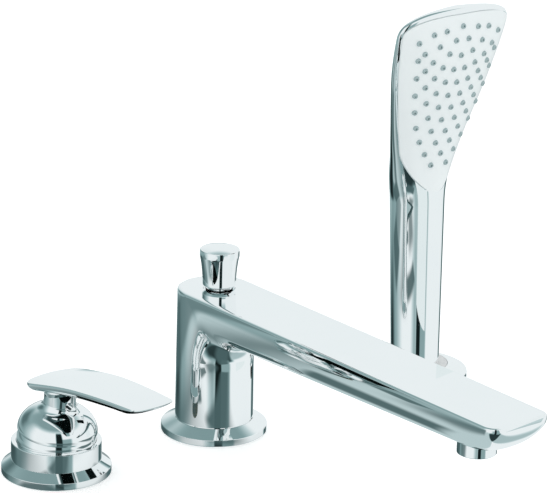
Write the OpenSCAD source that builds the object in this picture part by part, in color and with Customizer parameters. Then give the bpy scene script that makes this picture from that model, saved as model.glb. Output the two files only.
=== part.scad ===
// Bath shower mixer: a single-lever valve, a spout with a diverter and a hand shower on one deck.
// The origin is on the spout's axis at the deck, +Z is up and the spout reaches towards -Y.

/* [Layout] */
// Distance from the spout to the mixing valve
mixer_offset = 125.8; // [105:0.1:170]
// Distance from the spout to the hand shower
shower_offset = 175.5; // [150:0.1:240]
// Thickness of the deck that the units are clamped to
deck_t = 20; // [5:1:30]

/* [Rosettes] */
// Diameter of the mixer and spout rosettes
rosette_d = 70; // [68:1:80]
// Diameter of the shower holder's rosette
shower_rosette_d = 73; // [68:1:80]
// Height of the straight rim
rosette_rim_h = 4.6; // [3.5:0.1:6]
// Height of the whole rosette
rosette_h = 9.2; // [8.5:0.1:12]
// Thickness of the rubber gasket under the rosette
gasket_t = 2; // [1:0.1:3]
// Width of the gasket ring
gasket_w = 6; // [3:0.5:7]

/* [Deck fixing] */
// Diameter of the threaded shanks
shank_d = 40; // [38:0.5:42]
// How far the shanks reach below the deck surface
shank_drop = 58; // [56:1:90]
// Outer diameter of the deck seal and washer
washer_d = 60; // [54:1:66]
// Thickness of the rubber seal below the deck
deck_seal_t = 3; // [1:0.5:5]
// Thickness of the steel washer
washer_t = 2.5; // [1:0.5:4]
// Height of the fixing nut
nut_h = 10; // [6:1:14]
// Width of the fixing nut across its flats
nut_af = 52; // [50:1:58]
// Wall radius of the hose ports
port_r = 4.5; // [4:0.1:5]
// Depth of the hose ports
port_depth = 12; // [8:1:16]

/* [Spout] */
// Diameter of the column at its base
column_base_d = 51.8; // [50:0.1:54]
// Diameter of the column at its top
column_top_d = 50.6; // [50:0.1:53]
// Height of the spout's top face above the deck
spout_top_z = 98.5; // [95:0.5:120]
// Reach from the column's axis to the tip
spout_reach = 292; // [250:1:320]
// Width of the arm at the column
arm_w = 50; // [46:0.1:50]
// Width of the arm near its tip
arm_tip_w = 47; // [42:0.1:50]
// Depth of the arm below its top face, at the column
arm_root_d = 32; // [26:0.5:36]
// Depth of the arm below its top face, at the aerator
arm_d = 25; // [24:0.5:32]
// Depth of the blunt nose at the tip
nose_d = 4; // [3:0.5:8]
// Length over which the underside rises to the nose
bow_len = 36; // [20:1:36]
// Radius of the nose's corners, seen from above
nose_r = 8; // [4:0.5:12]
// Roundness of the arm's underside, where 2 is an ellipse
hull_power = 2.4; // [2:0.1:3.5]
// Radius of the top edge
top_edge_r = 1.5; // [0.8:0.1:3]
// Radius of the hollow between the column and the arm
crotch_r = 14; // [6:1:24]
// Radius of the water channel in the arm
channel_r = 8; // [5:0.5:8]

/* [Aerator] */
// Distance from the spout's tip back to the aerator's axis
aerator_setback = 38; // [36:1:70]
// Outer diameter of the aerator housing
aerator_d = 24; // [22:0.5:26]
// Length of the aerator housing
aerator_len = 12; // [10:0.5:14]
// How far the housing stands out below the arm
aerator_proud = 6; // [4:0.5:7]
// Wall of the aerator housing
aerator_wall = 1.8; // [1.2:0.1:3]

/* [Diverter] */
// Distance of the knob's axis in front of the column's axis
diverter_y = 3; // [0:0.5:3]
// Lift of the knob
diverter_travel = 12; // [8:0.5:12]
// Height of the knob
knob_h = 32; // [26:1:40]
// Diameter of the knob's rim
knob_rim_d = 26; // [24:0.5:30]
// Diameter of the knob's waist
knob_waist_d = 22; // [19:0.5:23]
// Diameter of the ring at the knob's foot
knob_foot_d = 17.6; // [14:0.2:19]
// Depth of the recess that the knob's foot sits in
recess_depth = 3.4; // [2:0.2:5]
// Diameter of the recess in the top face
recess_d = 21; // [20:0.5:26]
// Diameter of the diverter rod
rod_d = 6; // [5:0.1:7]
// Diameter of the plunger
plunger_d = 19; // [17:0.5:20]
// Diameter of the spring's wire
spring_wire_d = 1.2; // [0.8:0.1:1.6]
// Turns of the spring
spring_turns = 9; // [6:1:12]

/* [Mixer] */
// Diameter of the sleeve
sleeve_d = 57.6; // [56:0.1:60]
// Height of the sleeve's top above the deck
sleeve_top_z = 21.3; // [20.5:0.1:22]
// Radius of the fixed dome
dome_r = 25.5; // [25.2:0.1:25.8]
// Wall of the dome
dome_wall = 1.6; // [1.2:0.1:2]
// Height of the lever's tilt axis above the deck
pivot_z = 20; // [19.5:0.1:20.5]
// Diameter of the cartridge
cartridge_d = 35; // [34:0.2:36]
// Diameter of the cartridge's inside
cartridge_bore_d = 24; // [23:0.2:25]
// Diameter of the spindle
spindle_d = 8; // [7:0.1:8.4]
// Distance from the tilt axis to the spindle's ball
ball_arm = 8; // [7.5:0.1:8.5]

/* [Lever] */
// Forward tilt of the closed lever
lever_tilt = 7.7; // [5:0.1:8]
// Lift of the lever from closed to full flow
lever_lift = 22; // [15:1:22]
// Outer radius of the hood
hood_r = 25.5; // [25.2:0.1:26]
// Height of the hood's rim above the tilt axis
hood_rim_z = 8.8; // [8.6:0.1:9.5]
// Height of the hood above its rim
hood_h = 17; // [16.6:0.1:20]
// Radius of the neck
neck_r = 10.2; // [9:0.1:12]
// Length of the blade
blade_len = 111; // [80:1:130]
// Width of the blade at its back
blade_back_w = 45.4; // [36:0.2:48]
// Width of the blade at its tip
blade_tip_w = 30.8; // [22:0.2:40]
// Thickness of the blade at its back
blade_back_t = 10.4; // [6:0.1:11]
// Thickness of the blade at its tip
blade_tip_t = 7.5; // [4:0.1:9]
// Height of the blade's upper face above the deck, over the mixer's axis
blade_z = 65.9; // [62:0.1:68]
// Rise of the blade from the mixer's axis to its tip
blade_rise = 11; // [4:0.1:20]
// How far the blade's sides bulge out between its ends
blade_bulge = 0.2; // [0:0.1:4]
// Crown of the blade along its length
blade_crown = 2.2; // [0:0.1:6]

/* [Hand shower] */
// Gap between the holder's seat and the handset's end
handset_seat_gap = 0.3; // [0.2:0.1:0.6]
// Length of the handset above its seat
handset_len = 259.5; // [235:0.5:280]
// Diameter of the grip at its lower end
grip_end_d = 33.4; // [31:0.2:36]
// Diameter of the grip below the head
grip_top_d = 38; // [34:0.2:42]
// Height of the grip, from its end to the head
grip_len = 125; // [105:1:130]
// Backward lean of the grip
grip_lean = 2; // [0:0.1:3]
// Width of the head
head_w = 95; // [88:1:102]
// Height of the head's rounded top, above its widest place
head_cap_h = 17; // [12:0.5:22]
// How far the spray face comes forward of the grip
face_reach = 19.8; // [12:0.1:26]
// Depth of the head in front of its widest line
face_crown = 16.5; // [14:0.1:20]
// Depth of the head behind its widest line
head_back_t = 12.5; // [11:0.1:18]
// Thickness of the face plate
plate_t = 2.5; // [2:0.1:3]
// Width of the chrome rim at the sides of the face plate
rim_w = 1.7; // [1.4:0.1:3]
// Width of the chrome rim above the face plate
rim_top = 4.5; // [3:0.1:6]
// Radius of a nozzle
nozzle_r = 2; // [1.2:0.1:2.2]
// How far a nozzle stands out of the plate
nozzle_h = 1.4; // [0.8:0.1:2]
// Rows of nozzles below and including the longest row
nozzle_rows = 9; // [6:1:9]
// Distance between nozzles in the longest row
nozzle_pitch = 9.6; // [8.5:0.1:9.8]

/* [Hidden] */
$fn = 96;

// Finishes
CHROME = [0.78, 0.81, 0.81];
BRASS = [0.72, 0.58, 0.30];
RUBBER = [0.10, 0.10, 0.11];
STEEL = [0.62, 0.63, 0.64];
CERAMIC = [0.93, 0.92, 0.88];
PLASTIC = [0.86, 0.87, 0.87];
WHITE = [0.90, 0.92, 0.93];
SILICONE = [0.45, 0.50, 0.51];

// Clearances between pieces that move past each other
run_gap = 0.3;
shaft_gap = 0.05;
// Overshoot that keeps cuts clear of a face
eps = 0.5;

// Places of the units
mixer_x = -mixer_offset;
shower_x = shower_offset;
shank_r = shank_d / 2;
shank_bottom = -shank_drop;

// Stations of the spout
column_r = column_top_d / 2;
aerator_y = spout_reach - aerator_setback;
arm_under_z = spout_top_z - arm_d;
channel_z = spout_top_z - arm_d / 2;
aerator_z0 = arm_under_z - aerator_proud;
aerator_z1 = aerator_z0 + aerator_len;
aerator_r = aerator_d / 2;
aerator_bore_r = aerator_r - aerator_wall;
aerator_seal_t = 1.5;
aerator_lip = 1;
port_x = 10;
shank_in_column = 12;
shank_top = rosette_h + shank_in_column;

// Stations of the diverter, from its lower seat to the gland
cage_r = 17;
cage_wall = 2.5;
cage_web = 4;
seat_lip = 1.5;
seat_t = 1.5;
plunger_t = 3;
plunger_r = plunger_d / 2;
lower_seat_r = 4.4;
upper_seat_r = plunger_r - 1;
plunger_seal_z = shank_top + cage_web + seat_lip;
plunger_z = plunger_seal_z + seat_t + run_gap;
plunger_top = plunger_z + plunger_t + seat_t;
cage_ceiling = plunger_top + diverter_travel + run_gap;
cage_top = cage_ceiling + cage_web;
chamber_r = 15;
recess_z = spout_top_z - recess_depth;
gland_len = 11;
gland_z = recess_z - gland_len;
gland_r = 9;
rod_r = rod_d / 2;
o_ring_r = 1;
o_ring_z = gland_z + gland_len / 2;
spring_r = rod_r + run_gap + spring_wire_d;
knob_z = recess_z + run_gap;
knob_screw = 20;
knob_rim_h = 4;
knob_foot_h = 4;
knob_dome_h = 2;
passage_r = 3.6;
plenum_r = 7;
plenum_x = 5;
plenum_h = 5;

// Stations of the mixing valve
valve_head_h = 6;
valve_head_r = dome_r - dome_wall;
valve_head_z = rosette_h + valve_head_h;
cartridge_r = cartridge_d / 2;
cartridge_bore_r = cartridge_bore_d / 2;
cartridge_neck_r = cartridge_bore_r + 2.1;
cartridge_z = -17;
cartridge_seal_t = 1;
cartridge_nut_h = 5;
cartridge_nut_z = valve_head_z - cartridge_nut_h;
cartridge_nut_r = cartridge_r + 2.4;
cartridge_top = pivot_z + 2;
disc_z = pivot_z - 19;
disc_t = 4;
ball_r = 3;
ball_z = pivot_z - ball_arm;
slide_disc_r = 8;
slide_disc_z = disc_z + disc_t + run_gap;
slide_disc_top = ball_z + 2;
carrier_z = slide_disc_top + run_gap;
carrier_top = pivot_z + 4.5;
pin_r = 1.5;
pin_len = cartridge_bore_d - 2;
lever_swing = max(lever_tilt, lever_lift - lever_tilt);
mouth_margin = 5;
boss_r = 7.5;
dome_mouth_r = dome_r * sin(asin(boss_r / valve_head_r) + lever_swing + mouth_margin);
sleeve_bore_r = dome_r + 0.1;
mixer_ports = [[-9, 5], [9, 5], [0, -10]];
mixer_passage_r = 3;
seal_ring_w = 1.5;

// Stations of the lever, measured from the tilt axis along the lever's own axis
spindle_flat = 7;
socket_z = 18;
socket_top = 32;
neck_z = 31;
neck_fillet = 4;
neck_top = 41;
grub_z = 29;
grub_r = 2.5;
grub_len = 4;
blade_back_y = 8;
blade_points = 20;
blade_steps = 16;
blade_back_arc = 9;
blade_nose_r = 3;

// Stations of the hand shower
insert_r = 16.5;
insert_bore_r = 14;
insert_drop = 26;
insert_flange_r = 22.7;
insert_flange_t = 2;
holder_flange_t = 2;
holder_top = rosette_h - insert_flange_t - run_gap;
handset_z = rosette_h + handset_seat_gap;
handset_top = handset_z + handset_len;
grip_r0 = grip_end_d / 2;
grip_r1 = grip_top_d / 2;
head_z = handset_z + grip_len;
head_blend = 8;
head_swell = 0.68;
cap_power = 2.6;
cap_end = 0.985;
shoulder_z = handset_top - head_cap_h;
face_z = head_z + 5.5;
face_len = shoulder_z - face_z - 2;
crown_fade_z = mix(shoulder_z, head_z, 0.315);
crown_fade = 0.51 * (shoulder_z - head_z);
connector_r = 10.48;
connector_drop = 15;
connector_shoulder_r = 12;
connector_shoulder_h = 10;
connector_bore_r = 6;
waterway_r = 8;
waterway_top = head_z + 11;
feed_r = 6;
feed_top = waterway_top + 2 * feed_r;
handset_seal_t = 1.5;
mat_t = 1.5;
chamber_t = 4;
chamber_rim = 4;
plate_z0 = head_z + 2;
plate_round = 30;
plate_top = handset_top - rim_top;
plate_steps = 14;
plate_columns = 8;
shell_points = 32;
grip_steps = 4;
head_steps = 15;
cap_steps = 7;
plate_len = plate_top - plate_z0;
nozzle_z0 = plate_z0 + 0.158 * plate_len;
nozzle_row_pitch = 0.0617 * plate_len;
nozzle_centre_z = shoulder_z + 10;
nozzle_pitch_low = nozzle_pitch + 3.6;
nozzle_pitch_step = 0.8;
nozzle_row_stretch = 0.00082 * plate_len;
nozzle_bow = 0.0258;
NOZZLES_ABOVE = [7, 4, 1];

// Small helpers
function mix(a, b, t) = a + (b - a) * t;
function unit(t) = max(0, min(1, t));
function ease(t) = unit(t) * unit(t) * (3 - 2 * unit(t));
// A ramp that starts smoothly within k of zero
function ramp(x, k) = x <= -k ? 0 : x >= k ? x : (x + k) * (x + k) / (4 * k);
// A signed power, for superellipses
function spow(x, p) = sign(x) * pow(abs(x), p);

// Skins a list of rings that have equal counts of points, with mirrored diagonals on its two halves
module loft(rings) {
    n = len(rings[0]);
    m = len(rings);
    sides = [for (i = [0 : m - 2]) for (j = [0 : n - 1])
        let (a = i * n + j, b = i * n + (j + 1) % n)
        each j < n / 2 ? [[a, b + n, b], [a, a + n, b + n]] : [[a, a + n, b], [b, a + n, b + n]]];
    caps = [[for (j = [0 : n - 1]) j], [for (j = [n - 1 : -1 : 0]) (m - 1) * n + j]];
    polyhedron([for (ring = rings) each ring], concat(sides, caps), convexity = 8);
}

// A ring with a rectangular section
module ring(r_in, r_out, z0, z1) {
    rotate_extrude() translate([r_in, z0]) square([r_out - r_in, z1 - z0]);
}

module at_mixer() { translate([mixer_x, 0, 0]) children(); }
module at_shower() { translate([shower_x, 0, 0]) children(); }
module at_diverter() { translate([0, -diverter_y, 0]) children(); }
module at_aerator() { translate([0, -aerator_y, 0]) children(); }

// Bevelled cover ring with a groove for its gasket
module rosette(d, top_r, seat_r, seat_z) {
    r = d / 2;
    g1 = r - 3;
    g0 = g1 - gasket_w;
    edge = 0.5;
    rotate_extrude() polygon([[shank_r, 0], [g0, 0], [g0, gasket_t], [g1, gasket_t], [g1, 0], [r - edge, 0],
        [r, edge], [r, rosette_rim_h], [top_r, rosette_h], [seat_r, rosette_h], [seat_r, seat_z],
        [shank_r, seat_z]]);
}

module gasket(d) {
    g1 = d / 2 - 3;
    ring(g1 - gasket_w, g1, 0, gasket_t);
}

module deck_seal() { ring(shank_r, washer_d / 2, -deck_t - deck_seal_t, -deck_t); }
module deck_washer() { ring(shank_r, washer_d / 2, -deck_t - deck_seal_t - washer_t, -deck_t - deck_seal_t); }
module fixing_nut() {
    nut_top = -deck_t - deck_seal_t - washer_t;
    difference() {
        translate([0, 0, nut_top - nut_h]) cylinder(r = nut_af / 2 / cos(30), h = nut_h, $fn = 6);
        translate([0, 0, nut_top - nut_h - eps]) cylinder(r = shank_r, h = nut_h + 2 * eps);
    }
}

// Threaded port for a hose tail, open at the shank's lower end, with its passage upwards
module hose_port(at, top, r) {
    translate([at[0], at[1], shank_bottom - eps]) cylinder(r = port_r, h = port_depth + eps);
    translate([at[0], at[1], shank_bottom]) cylinder(r = r, h = top - shank_bottom);
}

// Mixing valve
module mixer_rosette() {
    color(CHROME) at_mixer() rosette(rosette_d, sleeve_d / 2, shank_r, rosette_h);
}

module mixer_gasket() { color(RUBBER) at_mixer() gasket(rosette_d); }

module mixer_valve_body() {
    color(BRASS) at_mixer() difference() {
        union() {
            translate([0, 0, shank_bottom]) cylinder(r = shank_r, h = rosette_h - shank_bottom);
            translate([0, 0, rosette_h]) cylinder(r = valve_head_r, h = valve_head_h);
        }
        translate([0, 0, cartridge_z - cartridge_seal_t])
            cylinder(r = cartridge_r, h = valve_head_z - cartridge_z + 2);
        translate([0, 0, cartridge_nut_z]) cylinder(r = cartridge_nut_r, h = cartridge_nut_h + eps);
        for (p = mixer_ports) hose_port(p, cartridge_z, mixer_passage_r);
    }
}

module mixer_sleeve() {
    edge = 0.4;
    r = sleeve_d / 2;
    color(CHROME) at_mixer() rotate_extrude() polygon([[sleeve_bore_r, rosette_h], [r, rosette_h],
        [r, sleeve_top_z - edge], [r - edge, sleeve_top_z], [sleeve_bore_r, sleeve_top_z]]);
}

module mixer_dome() {
    color(CHROME) at_mixer() difference() {
        union() {
            intersection() {
                translate([0, 0, pivot_z]) sphere(r = dome_r);
                translate([0, 0, pivot_z]) cylinder(r = dome_r + eps, h = dome_r);
            }
            translate([0, 0, rosette_h]) cylinder(r = dome_r, h = pivot_z - rosette_h);
        }
        translate([0, 0, pivot_z]) sphere(r = valve_head_r);
        translate([0, 0, rosette_h - eps]) cylinder(r = valve_head_r, h = pivot_z - rosette_h + eps);
        cylinder(r = dome_mouth_r, h = pivot_z + dome_r + eps);
    }
}

module cartridge_seals() {
    z0 = cartridge_z - cartridge_seal_t;
    color(RUBBER) at_mixer() for (p = mixer_ports)
        translate([p[0], p[1], 0]) ring(mixer_passage_r, mixer_passage_r + seal_ring_w, z0, cartridge_z);
}

module cartridge_housing() {
    color(PLASTIC) at_mixer() difference() {
        rotate_extrude() polygon([[0, cartridge_z], [cartridge_r, cartridge_z],
            [cartridge_r, cartridge_nut_z], [cartridge_neck_r, cartridge_nut_z],
            [cartridge_neck_r, cartridge_top], [0, cartridge_top]]);
        translate([0, 0, disc_z]) cylinder(r = cartridge_bore_r, h = cartridge_top - disc_z + eps);
        for (p = mixer_ports)
            translate([p[0], p[1], cartridge_z - eps])
                cylinder(r = mixer_passage_r - 0.4, h = disc_z - cartridge_z + 2 * eps);
    }
}

module cartridge_nut() {
    color(BRASS) at_mixer() ring(cartridge_neck_r, cartridge_nut_r, cartridge_nut_z, valve_head_z);
}

module ceramic_fixed_disc() {
    color(CERAMIC) at_mixer() difference() {
        translate([0, 0, disc_z]) cylinder(r = cartridge_bore_r, h = disc_t);
        for (p = mixer_ports)
            translate([p[0] * 0.7, p[1] * 0.7, disc_z - eps]) cylinder(r = 2.4, h = disc_t + 2 * eps);
    }
}

module ceramic_moving_disc() {
    pocket_r = ball_r + run_gap;
    color(CERAMIC) at_mixer() difference() {
        translate([0, ball_arm * sin(lever_tilt), slide_disc_z])
            cylinder(r = slide_disc_r, h = slide_disc_top - slide_disc_z);
        translate([0, ball_arm * sin(lever_tilt), ball_z - pocket_r])
            cylinder(r = pocket_r, h = slide_disc_top - ball_z + pocket_r + eps);
    }
}

module cartridge_carrier() {
    slot_y = spindle_d / 2 / cos(lever_swing) + (carrier_top - pivot_z) * tan(lever_swing) + run_gap;
    slot_x = spindle_d + 2 * run_gap;
    color(PLASTIC) at_mixer() difference() {
        translate([0, 0, carrier_z]) cylinder(r = cartridge_bore_r - shaft_gap, h = carrier_top - carrier_z);
        translate([-slot_x / 2, -slot_y, carrier_z - eps])
            cube([slot_x, 2 * slot_y, carrier_top - carrier_z + 2 * eps]);
        translate([-pin_len / 2, 0, pivot_z]) rotate([0, 90, 0]) cylinder(r = pin_r, h = pin_len);
    }
}

module cartridge_pivot_pin() {
    color(STEEL) at_mixer() translate([-pin_len / 2, 0, pivot_z]) rotate([0, 90, 0])
        cylinder(r = pin_r, h = pin_len);
}

// The lever's own frame: origin on the tilt axis, Z along the lever's axis
module lever_frame() {
    at_mixer() translate([0, 0, pivot_z]) rotate([lever_tilt, 0, 0]) children();
}

module cartridge_spindle() {
    stem_r = 2.2;
    shoulder_z = -3.5;
    color(STEEL) lever_frame() difference() {
        union() {
            translate([0, 0, -ball_arm]) sphere(r = ball_r);
            translate([0, 0, -ball_arm]) cylinder(r = stem_r, h = ball_arm);
            translate([0, 0, shoulder_z]) cylinder(r = spindle_d / 2, h = socket_z - shoulder_z);
            translate([-spindle_flat / 2, -spindle_flat / 2, socket_z])
                cube([spindle_flat, spindle_flat, socket_top - socket_z]);
        }
        translate([-spindle_d, 0, 0]) rotate([0, 90, 0]) cylinder(r = pin_r + shaft_gap, h = 2 * spindle_d);
    }
}

// Hood and neck: a flattened ball that runs up to the neck in a fillet
function hood_z(r) = let (f = neck_fillet, d = max(0, neck_r + f - r))
    hood_rim_z + hood_h * sqrt(1 - pow(r / hood_r, 2)) + f - sqrt(f * f - d * d);
module hood_form() {
    steps = 24;
    profile = [for (i = [0 : steps]) let (r = mix(neck_r, hood_r, cos(90 * i / steps))) [r, hood_z(r)]];
    rotate_extrude() polygon(concat([[0, hood_rim_z]], profile, [[neck_r, neck_top], [0, neck_top]]));
}

// Upper face of the blade, as a height above the deck at a distance in front of the mixer's axis
function blade_front() = blade_len - blade_back_y;
function blade_top(y) = let (s = y / blade_front())
    blade_z + blade_rise * s + 4 * blade_crown * s * (1 - s) * (s > 0 ? 1 : 0.4);

// One section across the blade, s from 0 at the back to 1 at the tip
function blade_ring(s) = let (
        y = -blade_back_y + s * blade_len,
        back = unit(s * blade_len / blade_back_arc),
        tip = unit((1 - s) * blade_len / blade_nose_r),
        w = (mix(blade_back_w, blade_tip_w, s) / 2 + 4 * blade_bulge * s * (1 - s))
            * mix(0.45, 1, sqrt(1 - pow(1 - back, 2))) * mix(0.92, 1, sqrt(1 - pow(1 - tip, 2))),
        t = mix(blade_back_t, blade_tip_t, s) * mix(0.35, 1, sqrt(back)) * mix(0.7, 1, sqrt(tip)),
        c = mix(0.2, 0.04, ease(2 * s)) * t)
    [for (j = [0 : blade_points - 1]) let (a = 360 * j / blade_points)
        [mixer_x + w * spow(cos(a), 0.8), -y,
         blade_top(y) - c + (sin(a) > 0 ? c : t - c) * spow(sin(a), 0.9)]];

module blade_form() {
    loft([for (i = [0 : blade_steps]) blade_ring(0.5 - 0.5 * cos(180 * i / blade_steps))]);
}

module lever_handle() {
    color(CHROME) difference() {
        union() {
            lever_frame() difference() {
                hood_form();
                sphere(r = dome_r + run_gap);
            }
            lever_frame() translate([0, 0, socket_z]) cylinder(r = boss_r, h = neck_z - socket_z);
            blade_form();
        }
        lever_frame() translate([-spindle_flat / 2, -spindle_flat / 2, socket_z - eps])
            cube([spindle_flat, spindle_flat, socket_top - socket_z + eps]);
        lever_frame() translate([0, -spindle_flat / 2, grub_z]) rotate([90, 0, 0])
            cylinder(r = grub_r, h = hood_r);
    }
}

module lever_grub_screw() {
    hex_af = 2.5;
    color(STEEL) lever_frame() translate([0, -spindle_flat / 2, grub_z]) rotate([90, 0, 0]) difference() {
        cylinder(r = grub_r, h = grub_len);
        translate([0, 0, grub_len / 2]) cylinder(r = hex_af / 2 / cos(30), h = grub_len, $fn = 6);
    }
}

module mixer_deck_seal() { color(RUBBER) at_mixer() deck_seal(); }
module mixer_deck_washer() { color(STEEL) at_mixer() deck_washer(); }
module mixer_fixing_nut() { color(BRASS) at_mixer() fixing_nut(); }

// Spout
module spout_rosette() { color(CHROME) rosette(rosette_d, column_base_d / 2, shank_r, rosette_h); }
module spout_gasket() { color(RUBBER) gasket(rosette_d); }

// Half width and depth of the arm at a distance y in front of the column's axis
function arm_half_w(y) = let (s = min(nose_r, spout_reach - y))
    mix(arm_w, arm_tip_w, y / spout_reach) / 2 - nose_r + sqrt(max(0, nose_r * nose_r - pow(nose_r - s, 2)));
function arm_depth(y) = let (
        u = unit((y - column_r) / crotch_r),
        b = unit((spout_reach - y) / bow_len))
    mix(nose_d, mix(arm_root_d, arm_d, unit(y / aerator_y)), sqrt(1 - pow(1 - b, 2)))
    + crotch_r * (1 - sqrt(1 - pow(1 - u, 2)));

// Section of the arm: a flat top with a small edge radius over a boat-shaped underside
function arm_ring(y) = let (w = arm_half_w(y), d = arm_depth(y), e = min(top_edge_r, d / 2), hull_steps = 22)
    concat(
        [for (i = [hull_steps : -1 : 0]) let (a = 180 * i / hull_steps)
            [w * spow(cos(a), 2 / hull_power), -y,
             spout_top_z - e - (d - e) * spow(sin(a), 2 / hull_power)]],
        [for (a = [45, 90]) [w - e + e * cos(a), -y, spout_top_z - e + e * sin(a)]],
        [for (a = [90, 135]) [-w + e + e * cos(a), -y, spout_top_z - e + e * sin(a)]]);

module arm_form() {
    crotch_steps = 6;
    bow_steps = 12;
    crotch_end = column_r + crotch_r;
    bow_start = spout_reach - bow_len;
    ys = concat([0], [for (i = [0 : crotch_steps]) column_r + crotch_r * (1 - cos(90 * i / crotch_steps))],
        [mix(crotch_end, bow_start, 0.35), mix(crotch_end, bow_start, 0.7)],
        [for (i = [0 : bow_steps]) bow_start + bow_len * sin(90 * i / bow_steps)]);
    loft([for (y = ys) arm_ring(y)]);
}

module column_form() {
    r0 = column_base_d / 2;
    groove = 0.6;
    e = top_edge_r;
    rotate_extrude() polygon(concat(
        [[0, rosette_h], [r0 - groove, rosette_h], [r0 - groove, rosette_h + groove], [r0, rosette_h + groove]],
        [for (a = [0 : 15 : 90]) [column_r - e + e * cos(a), spout_top_z - e + e * sin(a)]],
        [[0, spout_top_z]]));
}

module spout_body() {
    channel_start = chamber_r - 2.5;
    color(CHROME) difference() {
        union() {
            column_form();
            arm_form();
        }
        translate([0, 0, rosette_h - eps]) cylinder(r = shank_r, h = shank_in_column + eps);
        translate([0, 0, shank_top - eps]) cylinder(r = cage_r, h = cage_top - shank_top + eps);
        translate([0, 0, cage_top - eps]) cylinder(r = chamber_r, h = gland_z - cage_top + eps);
        at_diverter() translate([0, 0, gland_z - eps]) cylinder(r = gland_r, h = gland_len + 2 * eps);
        at_diverter() translate([0, 0, recess_z]) cylinder(r = recess_d / 2, h = recess_depth + eps);
        translate([0, -channel_start, channel_z - recess_depth / 2]) rotate([90, 0, 0])
            cylinder(r = channel_r, h = aerator_y - channel_start);
        at_aerator() translate([0, 0, aerator_z0 - eps]) cylinder(r = aerator_r, h = aerator_len + eps);
        at_aerator() translate([0, 0, aerator_z1 - eps])
            cylinder(r = aerator_bore_r, h = aerator_seal_t + eps);
        at_aerator() translate([0, 0, aerator_z1]) cylinder(r = channel_r - 1, h = channel_z - aerator_z1);
    }
}

module spout_shank() {
    color(BRASS) difference() {
        translate([0, 0, shank_bottom]) cylinder(r = shank_r, h = shank_top - shank_bottom);
        hose_port([-port_x, 0], shank_top + eps, passage_r);
        hose_port([port_x, 0], shank_top - plenum_h, passage_r);
        translate([plenum_x, 0, shank_top - plenum_h]) cylinder(r = plenum_r, h = plenum_h + eps);
    }
}

module diverter_cage() {
    color(BRASS) difference() {
        translate([0, 0, shank_top]) cylinder(r = cage_r, h = cage_top - shank_top);
        difference() {
            translate([0, 0, shank_top + cage_web])
                cylinder(r = cage_r - cage_wall, h = cage_ceiling - shank_top - cage_web);
            at_diverter() ring(lower_seat_r, lower_seat_r + seat_lip, shank_top, plunger_seal_z);
        }
        at_diverter() translate([0, 0, shank_top - eps]) cylinder(r = lower_seat_r, h = cage_web + 2 * eps);
        at_diverter() translate([0, 0, cage_ceiling - eps]) cylinder(r = upper_seat_r, h = cage_web + 2 * eps);
        translate([-port_x, 0, shank_top - eps]) cylinder(r = passage_r, h = cage_web + 2 * eps);
    }
}

module diverter_knob() {
    foot_r = knob_foot_d / 2;
    waist_r = knob_waist_d / 2;
    rim_r = knob_rim_d / 2;
    edge = 0.6;
    flare_steps = 8;
    waist_z = knob_foot_h + waist_r - foot_r;
    rim_z = knob_h - knob_dome_h - knob_rim_h;
    flare = [for (i = [0 : flare_steps]) let (t = i / flare_steps)
        [mix(waist_r, rim_r, t * t), mix(waist_z, rim_z, t)]];
    dome_steps = 6;
    dome = [for (i = [1 : dome_steps]) let (c = cos(90 * i / dome_steps))
        [(rim_r - edge) * c, knob_h - knob_dome_h * c * c]];
    color(CHROME) at_diverter() translate([0, 0, knob_z]) difference() {
        rotate_extrude() polygon(concat([[0, 0], [foot_r, 0], [foot_r, knob_foot_h]], flare,
            [[rim_r, knob_h - knob_dome_h - edge], [rim_r - edge, knob_h - knob_dome_h]], dome));
        translate([0, 0, -eps]) cylinder(r = rod_r, h = knob_screw + eps);
    }
}

module diverter_rod() {
    color(STEEL) at_diverter() translate([0, 0, plunger_z])
        cylinder(r = rod_r, h = knob_z + knob_screw - plunger_z);
}

module diverter_plunger() {
    color(BRASS) at_diverter() ring(rod_r, plunger_r, plunger_z, plunger_z + plunger_t);
}

module diverter_seals() {
    color(RUBBER) at_diverter() {
        ring(rod_r, plunger_r, plunger_z + plunger_t, plunger_top);
        translate([0, 0, plunger_z - seat_t]) cylinder(r = plunger_r, h = seat_t);
    }
}

// Return spring, one round wire wound by its pitch between the plunger and the gland
module diverter_spring() {
    sides = 6;
    per_turn = 8;
    steps = spring_turns * per_turn;
    wire_r = spring_wire_d / 2;
    z0 = plunger_top + wire_r + shaft_gap;
    z1 = gland_z - wire_r - shaft_gap;
    color(STEEL) at_diverter() loft([for (i = [0 : steps])
        let (a = 360 * i / per_turn, z = mix(z0, z1, i / steps))
        [for (j = [0 : sides - 1]) let (b = 360 * j / sides, r = spring_r + wire_r * cos(b))
            [r * cos(a), r * sin(a), z + wire_r * sin(b)]]]);
}

module diverter_gland() {
    color(BRASS) at_diverter() difference() {
        ring(rod_r + shaft_gap, gland_r, gland_z, recess_z);
        translate([0, 0, o_ring_z]) rotate_extrude()
            translate([rod_r + shaft_gap, 0]) square([2 * o_ring_r, 2 * o_ring_r], center = false);
    }
}

module diverter_o_ring() {
    color(RUBBER) at_diverter() translate([0, 0, o_ring_z + o_ring_r]) rotate_extrude()
        translate([rod_r + shaft_gap + o_ring_r, 0]) circle(r = o_ring_r);
}

module aerator_seal() {
    color(RUBBER) at_aerator() ring(channel_r - 1, aerator_bore_r, aerator_z1, aerator_z1 + aerator_seal_t);
}

module aerator_insert() {
    holes = 12;
    color(PLASTIC) at_aerator() difference() {
        translate([0, 0, aerator_z0 + aerator_lip])
            cylinder(r = aerator_bore_r, h = aerator_len - aerator_lip);
        translate([0, 0, aerator_z0 + 3 * aerator_lip]) cylinder(r = channel_r - 1, h = aerator_len);
        for (r = [2.6, 5.6]) for (i = [0 : holes / 2 * (r > 4 ? 2 : 1) - 1])
            rotate([0, 0, 360 * i / (holes / 2 * (r > 4 ? 2 : 1))]) translate([r, 0, aerator_z0])
                cylinder(r = 0.9, h = aerator_len);
    }
}

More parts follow.
